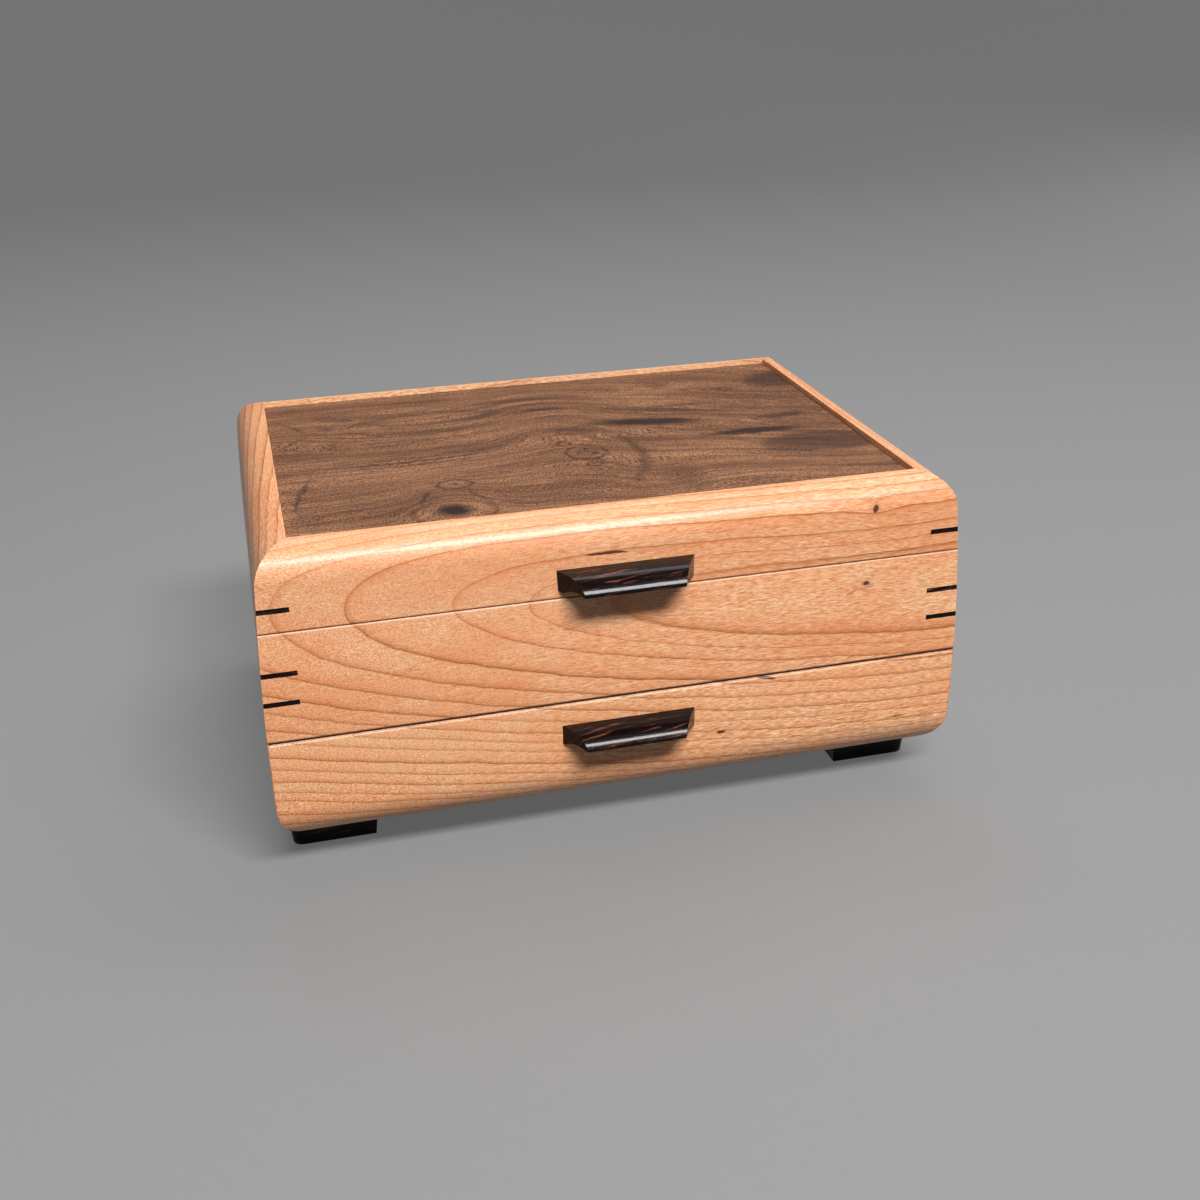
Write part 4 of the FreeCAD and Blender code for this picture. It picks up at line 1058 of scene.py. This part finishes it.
LID_FRONT_MARKS = (
    Mark(123.0, 155.0, (2.6, 1.7), dark=1.0, tilt=60.0, softness=0.45),
    Mark(123.0, 155.0, (5.0, 4.2), dark=0.28, softness=1.0),
    Mark(124.0, 156.0, (9.0, 4.0), push=2.6),
    Mark(-8.6, 149.2, (11.5, 0.8), dark=1.0, tilt=-1.5, bend=-0.5, softness=0.25),
)
CASE_FRONT_MARKS = (
    Mark(119.0, 118.2, (2.1, 1.4), dark=1.0, softness=0.45),
    Mark(119.0, 117.6, (5.8, 4.8), dark=0.22, rim=0.12, rim_width=0.5),
    Mark(112.0, 114.5, (6.0, 1.2), dark=0.45, tilt=30.0, softness=1.0),
    Mark(150.0, 114.0, (8.0, 2.2), dark=0.25, tilt=-25.0, softness=1.0),
)
DRAWER_FRONT_MARKS = (
    Mark(69.0, 68.7, (6.2, 0.9), dark=1.0, tilt=-11.0, softness=0.4),
    Mark(46.5, 42.1, (3.2, 1.1), dark=1.0, tilt=-6.0, softness=0.5),
    Mark(140.0, 36.5, (7.0, 0.7), dark=0.8, tilt=-2.0, softness=0.8),
)
# Places on the panel, from its centre
PANEL_MARKS = (
    # Swellings that lift the grain over the pin knots and let it fall towards the sides
    Mark(1.0, 26.0, (32.0, 74.0), push=-21.0),
    Mark(170.0, 0.0, (95.0, 140.0), push=52.0),
    Mark(-152.0, 42.0, (46.0, 40.0), push=-13.0),
    Mark(-71.0, -84.0, (19.0, 30.0), push=-24.0),
    Mark(30.0, -80.0, (26.0, 40.0), push=14.0),
    # The wavy dark band over the panel and the pale line below it
    Mark(-58.0, 31.5, (59.4, 5.8), dark=0.57, tilt=7.0, bend=12.0, softness=1.0),
    Mark(0.0, 53.5, (33.0, 5.3), dark=0.65, bend=-9.0, softness=1.0),
    Mark(66.0, 31.0, (62.0, 6.4), dark=0.72, tilt=-21.0),
    Mark(-61.0, 22.5, (56.0, 1.2), dark=-1.0, tilt=6.0, bend=11.5, softness=0.8),
    Mark(2.0, 41.5, (28.0, 1.2), dark=-1.0, bend=-11.0, softness=0.8),
    Mark(-60.0, 20.0, (54.0, 1.7), dark=0.54, tilt=6.0, bend=11.5),
    Mark(2.0, 38.5, (28.0, 1.7), dark=0.54, bend=-11.0),
    # Shadowed bands and a pale oval at the back
    Mark(122.0, 10.0, (64.0, 104.0), dark=0.26, softness=1.0),
    Mark(-28.0, 75.0, (72.6, 7.5), dark=0.41, bend=-4.0, softness=1.0),
    Mark(-62.0, 56.0, (34.0, 9.0), dark=-0.6, softness=0.7, rim=0.36, rim_width=1.4),
    Mark(-60.0, 66.0, (40.0, 2.0), dark=0.47, bend=-6.0),
    Mark(62.0, 68.0, (42.0, 19.0), dark=-0.68, softness=0.8),
    Mark(78.0, 37.5, (46.2, 4.6), dark=0.57, tilt=-4.0, softness=1.0),
    # Close dark lines at the middle left
    Mark(-80.0, -13.0, (72.0, 2.2), dark=0.81, tilt=2.5, bend=9.5),
    Mark(-78.0, -18.0, (64.0, 1.7), dark=0.68, tilt=1.5, bend=6.0),
    Mark(-86.0, -8.0, (66.0, 1.6), dark=0.47, tilt=2.0, bend=7.0),
    Mark(-70.0, 3.0, (66.0, 3.9), dark=0.34, tilt=2.0, bend=8.0, softness=1.0),
    # The hourglass at the back left
    Mark(-103.0, 56.0, (16.0, 1.8), dark=0.62, tilt=47.0, bend=2.5),
    Mark(-93.0, 33.0, (27.0, 1.8), dark=0.58, tilt=-32.0, bend=5.0),
    Mark(-136.0, 61.0, (21.0, 1.8), dark=0.62, tilt=-60.0, bend=-3.0),
    Mark(-137.0, 35.0, (17.0, 1.8), dark=0.58, tilt=48.0, bend=-2.5),
    Mark(-119.0, 53.0, (7.7, 6.9), dark=0.54, softness=1.0),
    Mark(-117.0, 71.0, (4.0, 3.7), dark=0.27, rim=0.72),
    Mark(-108.5, 66.0, (4.0, 2.8), dark=0.68, rim=0.58),
    Mark(-123.0, 70.0, (1.8, 1.6), dark=0.81),
    Mark(-120.0, 22.5, (2.9, 3.0), dark=0.27, rim=0.65),
    # The arch that falls past the pin knots, pale inside and shaded outside
    Mark(33.0, -36.0, (62.0, 5.5), dark=0.6, tilt=85.0, bend=30.0, softness=1.0),
    Mark(44.0, -76.0, (16.5, 32.2), dark=0.38, softness=1.0),
    Mark(24.0, -2.0, (17.0, 6.0), dark=-0.9, tilt=-32.0, softness=0.8),
    Mark(70.0, -40.0, (48.4, 25.3), dark=-0.45, softness=1.0),
    Mark(10.0, 11.0, (11.0, 5.8), dark=0.47, tilt=5.0, rim=0.43, rim_width=1.0),
    # Pin knots with their eyes
    Mark(6.0, -25.0, (10.3, 11.0), dark=0.34, softness=1.0, rim=0.8, rim_width=0.9),
    Mark(2.4, -25.2, (2.4, 2.4), dark=0.96, softness=0.8),
    Mark(9.8, -28.0, (3.0, 2.8), dark=0.96, softness=0.8),
    Mark(6.0, -20.5, (1.8, 1.8), dark=0.94, softness=0.8),
    Mark(-2.5, -9.0, (3.3, 3.7), dark=-0.6, rim=0.87),
    Mark(-2.5, -9.0, (1.1, 1.1), dark=0.96),
    Mark(5.6, -44.4, (4.0, 2.8), dark=0.47, rim=0.72),
    Mark(5.6, -44.8, (1.4, 1.3), dark=0.96),
    # The dark knot at the front left in its pale arch, and the eye above it
    Mark(-72.0, -90.0, (19.0, 15.0), dark=-0.8, softness=0.45, rim=0.5, rim_width=0.9),
    Mark(-72.5, -87.0, (14.0, 12.5), dark=1.0, softness=0.75),
    Mark(-83.0, -66.0, (17.0, 1.7), dark=0.7, tilt=66.0, bend=-5.0),
    Mark(-59.0, -69.0, (14.0, 1.7), dark=0.62, tilt=-66.0, bend=5.0),
    Mark(-66.3, -52.5, (8.0, 6.2), dark=-0.4, softness=0.8, rim=0.75),
    Mark(-66.3, -52.5, (2.6, 2.5), dark=0.88, softness=1.0),
    # The pale corner at the front left
    Mark(-140.0, -48.0, (40.0, 1.9), dark=0.72, tilt=76.0, bend=-7.0, sway=8.0),
    Mark(-151.0, -62.0, (12.0, 34.0), dark=-0.68, softness=0.6),
    # Dark heartwood on the right
    Mark(51.0, 14.0, (47.0, 9.5), dark=0.95, tilt=-12.0, bend=-2.0, softness=0.7),
    Mark(99.0, -17.5, (42.0, 7.0), dark=0.95, tilt=-2.0, bend=-3.0, softness=0.7),
    Mark(78.0, -10.0, (34.0, 1.9), dark=0.47, tilt=-16.0, softness=1.0),
    Mark(122.0, 3.5, (26.0, 7.5), dark=0.75, tilt=4.0, softness=0.8),
    Mark(126.0, -44.0, (40.0, 19.0), dark=0.62, tilt=-6.0, bend=-3.0, softness=0.35),
    Mark(144.0, 68.0, (30.0, 24.0), dark=0.7, tilt=12.0, softness=0.6),
    Mark(73.0, 79.0, (13.2, 11.5), dark=0.51, softness=1.0),
    Mark(86.5, 65.0, (2.0, 4.1), dark=0.81),
    Mark(108.7, 59.0, (3.5, 3.9), dark=0.27, rim=0.72),
    Mark(60.0, -2.0, (30.0, 1.7), dark=0.47, tilt=-24.0, softness=1.0),
)


@dataclass
class Lid(SubAssembly):
    """The lid: four mitred rails, the floating panel, the corner keys and the pull.

    Attributes:
        panel_top: Height of the panel's face.
        panel_middle: How far back the panel's centre lies.
        front_wood_with_painted_light: The front rail's wood, painted darker than the case's: painted shade
            for the light that its upward-facing crown catches.
        back_wood_painted_light: The back rail's wood, painted paler: a painted highlight on the back rail.
    """

    panel_top: float = 164.6
    panel_middle: float = 4.43
    # Darker cherry: painted shade for the light that the lid's upward-facing crown catches
    front_wood_with_painted_light: Timber = replace(CHERRY, light=(0.90, 0.63, 0.385), deep=(0.75, 0.295, 0.123))
    # Paler cherry: a painted highlight on the back rail's top
    back_wood_painted_light: Timber = replace(SIDE_CHERRY, light=(1.0, 0.80, 0.52), deep=(1.0, 0.55, 0.27))

    def build(self) -> None:
        """Dress the lid."""
        self.board("lid_rail_front", self.front_wood_with_painted_light, "cherry lid front with painted shade", FRONT_CUT, LID_FRONT_MARKS)
        self.board("lid_rail_back", self.back_wood_painted_light, "cherry lid back with painted light", BACK_CUT)
        self.both_sides("lid_rail", "lid")
        face = Cut(Grain.WIDTH_FLAT, signs=(1.0, 1.0, -1.0),
                   origin=(0.0, -self.panel_middle, self.panel_top), runout=(60.0, 300.0))
        self.board("lid_panel", WALNUT, "walnut panel", face, PANEL_MARKS)
        self.board(["lid_pull", *self.starting("lid_", "_key")], WENGE, "wenge lid", Cut(Grain.WIDTH))


@dataclass
class Case(SubAssembly):
    """The carcase: front rail, sides, back, bottom and the corner keys.

    Attributes:
        ply_foot: Height of the bottom board's lower face.
    """

    ply_foot: float = 25.0

    def build(self) -> None:
        """Dress the carcase."""
        self.board("case_front_rail", CHERRY, "cherry case front", FRONT_CUT, CASE_FRONT_MARKS)
        self.board("case_back", SIDE_CHERRY, "cherry case back", BACK_CUT)
        self.both_sides("case_side", "case")
        ply = Cut(Grain.WIDTH_FLAT, origin=(0.0, 0.0, -self.ply_foot))
        self.board("case_bottom", BIRCH_PLY, "birch ply bottom", ply)
        self.board(self.starting("case_", "_key"), WENGE, "wenge case keys", Cut(Grain.WIDTH))


@dataclass
class Compartment(SubAssembly):
    """The divided compartment under the lid.

    Attributes:
        felt: Its lining.
        floor_foot: Height of its floor's lower face.
    """

    felt: Felt = LINING
    floor_foot: float = 82.85

    def build(self) -> None:
        """Dress the compartment."""
        ply = Cut(Grain.WIDTH_FLAT, origin=(20.0, 0.0, -self.floor_foot))
        self.board("compartment_floor", BIRCH_PLY, "birch ply floor", ply)
        self.dress(["compartment_lining"], self.felt.material("felt compartment"))
        lengthways = self.starting("divider_", "cross", wanted=False)
        self.board(lengthways, WALNUT, "walnut dividers", Cut(Grain.WIDTH), sanded=True)
        cross = self.starting("divider_", "cross")
        self.board(cross, WALNUT, "walnut cross dividers", Cut(Grain.DEPTH), sanded=True)


@dataclass
class Drawer(SubAssembly):
    """The drawer: crowned front, thin box, runners, dividers, lining and pull.

    Attributes:
        felt: Its lining.
        kerf: Wood lost to the saw between the case's rail and the drawer's front.
        front_wood_with_painted_light: The front's wood, painted paler than the case's: painted light for its
            downward-facing crown, which catches less light.
        box_height: Cubic of the pith's height along the thin boards.
    """

    felt: Felt = LINING
    kerf: float = 6.4
    # Paler cherry: painted light for the drawer's downward-facing crown
    front_wood_with_painted_light: Timber = replace(CHERRY, light=(1.0, 0.82, 0.515), deep=(1.0, 0.43, 0.190), lines=1.1)
    box_height: tuple[float, float, float, float] = (60.0, 4.0, 0.0, 0.0)

    def build(self) -> None:
        """Dress the drawer."""
        front = Cut(Grain.WIDTH, origin=(0.0, -self.kerf, -FRONT_FACE))
        self.board("drawer_front", self.front_wood_with_painted_light, "cherry drawer front with painted light", front, DRAWER_FRONT_MARKS)
        sides = [*self.starting("drawer_side_"), *self.starting("drawer_runner_")]
        self.board(sides, MAPLE, "maple drawer sides", Cut(Grain.DEPTH, height=self.box_height), sanded=True)
        self.board("drawer_back", MAPLE, "maple drawer back", Cut(Grain.WIDTH, height=self.box_height),
                   sanded=True)
        ply = Cut(Grain.WIDTH_FLAT, origin=(60.0, 0.0, 0.0))
        self.board("drawer_bottom", BIRCH_PLY, "birch ply drawer", ply)
        self.dress(["drawer_lining"], self.felt.material("felt drawer"))
        self.board("drawer_divider_long", WALNUT, "walnut drawer divider", Cut(Grain.WIDTH), sanded=True)
        cross = self.starting("drawer_divider_cross")
        self.board(cross, WALNUT, "walnut drawer cross dividers", Cut(Grain.DEPTH), sanded=True)
        self.board("drawer_pull", WENGE, "wenge drawer pull", Cut(Grain.WIDTH))


@dataclass
class Feet(SubAssembly):
    """The four block feet and their screws.

    Attributes:
        screw_row: Where each pair of screws stands.
    """

    arris: float = 0.5
    screw_row: ScrewRow = ScrewRow(Grain.DEPTH_FLAT, (59.85, 135.85, 0.0), spacing=22.0, arm=1.9, width=0.45,
                                   middle=(4.43, 0.0, 0.0))

    def build(self) -> None:
        """Dress the feet."""
        feet = self.starting("foot_", "screws", wanted=False)
        self.board(feet, WENGE, "wenge feet", Cut(Grain.WIDTH), sanded=True)
        screws = replace(STEEL, screws=self.screw_row)
        self.dress(["foot_screws"], screws.material("steel foot screws"))


@dataclass
class Hinges(SubAssembly):
    """Both stop hinges with their screws, and the screws that hold the pulls.

    Attributes:
        leaf_row: Where each leaf's three screws stand.
    """

    leaf_row: ScrewRow = ScrewRow(Grain.WIDTH_FLAT, (106.25, 122.03, 0.0), spacing=11.0, arm=1.15,
                                  width=0.28)

    def build(self) -> None:
        """Dress the hinges and the hidden screws."""
        leaves = self.starting("hinge_", "screws", wanted=False)
        self.dress(leaves, BRASS.material("brass hinges"))
        screws = replace(BRASS, screws=self.leaf_row)
        self.dress(["hinge_screws_case", "hinge_screws_lid"], screws.material("brass screws"))
        hidden = ["lid_pull_screws", "drawer_pull_screws"]
        self.dress(hidden, STEEL.material("steel pull screws"))


# ------------------------------------------------------------------ studio

@dataclass(frozen=True)
class SoftLight:
    """One studio softbox.

    Attributes:
        name: The lamp's name.
        place: Where it hangs, in metres.
        aim: The point that it faces.
        size: Its width and height.
        power: Its power in watts.
    """

    name: str
    place: Triple
    aim: Triple
    size: tuple[float, float]
    power: float

    def hang(self) -> None:
        """Hang the softbox in the scene."""
        lamp = bpy.data.lights.new(self.name, "AREA")
        lamp.shape = "RECTANGLE"
        lamp.size, lamp.size_y = self.size
        lamp.energy = self.power
        holder = put(self.name, lamp)
        holder.location = self.place
        facing = Vector(self.aim) - Vector(self.place)
        holder.rotation_euler = facing.to_track_quat("-Z", "Y").to_euler()
        LOG.info("studio: %s", self.name)


def put(name: str, data: bpy.types.ID) -> bpy.types.Object:
    """Put a mesh, a lamp or a camera into the scene.

    Args:
        name: The object's name.
        data: What it shows.

    Returns:
        The object.
    """
    holder = bpy.data.objects.new(name, data)
    bpy.context.scene.collection.objects.link(holder)
    return holder


@dataclass
class Studio:
    """The floor, the lights and the camera, in metres and degrees.

    Attributes:
        paper_tint: Grey of the floor's paper as it is seen.
        paper_tones: Shares of that grey in the paper's fibres.
        paper_glow: Grey that evens the paper out where it is seen.
        paper_roughness: Its roughness.
        paper_gloss: Its specular level.
        fibres: Fibres of the paper per metre.
        bounce_tint: Grey with which it throws light back.
        wall_place: How far out the paper turns upright, all around the box.
        sweep_radius: Radius of that turn.
        sweep_steps: Number of facets in it.
        wall_height: Height of the paper.
        wall_sides: Number of facets around the box.
        ambient: Strength of the room's light.
        camera_place: Where the camera stands.
        camera_turn: Its rotation.
        lens: Its focal length in millimetres.
        sensor: Its sensor's width in millimetres.
        lights: The softboxes.
    """

    paper_tint: float = 0.16
    paper_tones: tuple[float, float] = (0.97, 1.03)
    paper_glow: float = 0.105
    paper_roughness: float = 0.9
    paper_gloss: float = 0.2
    fibres: float = 240.0
    bounce_tint: float = 0.10
    wall_place: float = 3.4
    sweep_radius: float = 1.4
    sweep_steps: int = 16
    wall_height: float = 4.0
    wall_sides: int = 96
    ambient: float = 0.045
    camera_place: Triple = (-0.15975, -0.70268, 0.40364)
    camera_turn: Triple = (65.3358, 1.0460, -14.5787)
    lens: float = 43.43
    sensor: float = 36.0
    lights: tuple[SoftLight, ...] = (
        SoftLight("front softbox", (0.22, -1.70, 2.12), aim=(0.0, 0.0, 0.08), size=(1.5, 0.45), power=105.0),
        SoftLight("overhead strip", (0.35, 0.50, 1.35), aim=(0.0, 0.0, 0.15), size=(1.6, 0.35), power=9.5),
        SoftLight("left fill", (-1.9, -0.2, 0.9), aim=(0.0, 0.0, 0.08), size=(1.2, 1.0), power=2.6),
        SoftLight("back fill", (1.8, 1.3, 0.7), aim=(0.0, 0.0, 0.08), size=(0.8, 0.8), power=5.0),
    )

    def seen(self, graph: Graph) -> Wire:
        """Return 1 for rays that show the paper itself, in a picture or in a reflection."""
        looked, glossy, through = (graph.wire("LightPath", {}, "Is %s Ray" % kind)
                                   for kind in ("Camera", "Glossy", "Transmission"))
        return looked.math("MAXIMUM", glossy).math("MAXIMUM", through)

    def paper(self) -> bpy.types.Material:
        """Make the floor's paper, which looks pale but throws little light on the box.

        From below it's clear, so that the underside of the box can be looked at.

        Returns:
            The material.
        """
        surface = Surface("studio paper")
        seen = self.seen(surface)
        fibre = surface.wire("TexCoord", {}, "Object").noise(self.fibres)
        tint, bounce, glow = ((grey,) * 3 for grey in (self.paper_tint, self.bounce_tint, self.paper_glow))
        shown = fibre.blend(*(shade(tint, share) for share in self.paper_tones))
        behind = surface.wire("NewGeometry", {}, "Backfacing")
        surface.set(Base_Color=seen.blend(bounce, shown), Emission_Color=seen.blend(ORIGIN, glow),
                    Emission_Strength=1.0, Alpha=-behind + 1.0, Roughness=self.paper_roughness,
                    Specular_IOR_Level=self.paper_gloss)
        return surface.material

    def build_floor(self) -> None:
        """Lay a seamless floor that sweeps up all around the box."""
        bend = self.wall_place - self.sweep_radius
        profile = [(bend, 0.0)]
        for step in range(1, self.sweep_steps + 1):
            angle = math.pi / 2 * step / self.sweep_steps
            profile.append((bend + self.sweep_radius * math.sin(angle),
                            self.sweep_radius * (1.0 - math.cos(angle))))
        profile.append((self.wall_place, self.wall_height))
        turns = [2.0 * math.pi * side / self.wall_sides for side in range(self.wall_sides)]
        vertices = [ORIGIN]
        for out, up in profile:
            vertices += [(out * math.cos(turn), out * math.sin(turn), up) for turn in turns]
        pairs = [(side, (side + 1) % self.wall_sides) for side in range(self.wall_sides)]
        faces = [(0, 1 + side, 1 + after) for side, after in pairs]
        for row in range(len(profile) - 1):
            low = 1 + row * self.wall_sides
            high = low + self.wall_sides
            faces += [(low + side, high + side, high + after, low + after) for side, after in pairs]
        mesh = bpy.data.meshes.new("studio_floor")
        mesh.from_pydata(vertices, [], faces)
        mesh.shade_smooth()
        mesh.materials.append(self.paper())
        floor = put("studio_floor", mesh)

    def build_world(self) -> None:
        """Fill the room with plain soft light."""
        world = bpy.data.worlds.new("soft room")
        world.use_nodes = True
        background = world.node_tree.nodes["Background"]
        background.inputs["Color"].default_value = (1.0, 1.0, 1.0, 1.0)
        background.inputs["Strength"].default_value = self.ambient
        bpy.context.scene.world = world

    def build_camera(self) -> None:
        """Set the camera above the box's front left."""
        camera = bpy.data.cameras.new("camera")
        camera.lens = self.lens
        camera.sensor_width = self.sensor
        holder = put("camera", camera)
        holder.location = self.camera_place
        holder.rotation_euler = Euler([math.radians(turn) for turn in self.camera_turn], "XYZ")
        bpy.context.scene.camera = holder

    def build(self) -> None:
        """Set up the whole studio."""
        self.build_floor()
        self.build_world()
        for light in self.lights:
            light.hang()
        self.build_camera()
        bpy.context.scene.view_settings.view_transform = "Standard"


def main() -> None:
    """Dress the box and set up the studio."""
    logging.basicConfig(level=logging.INFO, format="%(name)s: %(message)s")
    for part in (Lid, Case, Compartment, Drawer, Feet, Hinges):
        part().build()
    Studio().build()


if __name__ == "__main__":
    main()
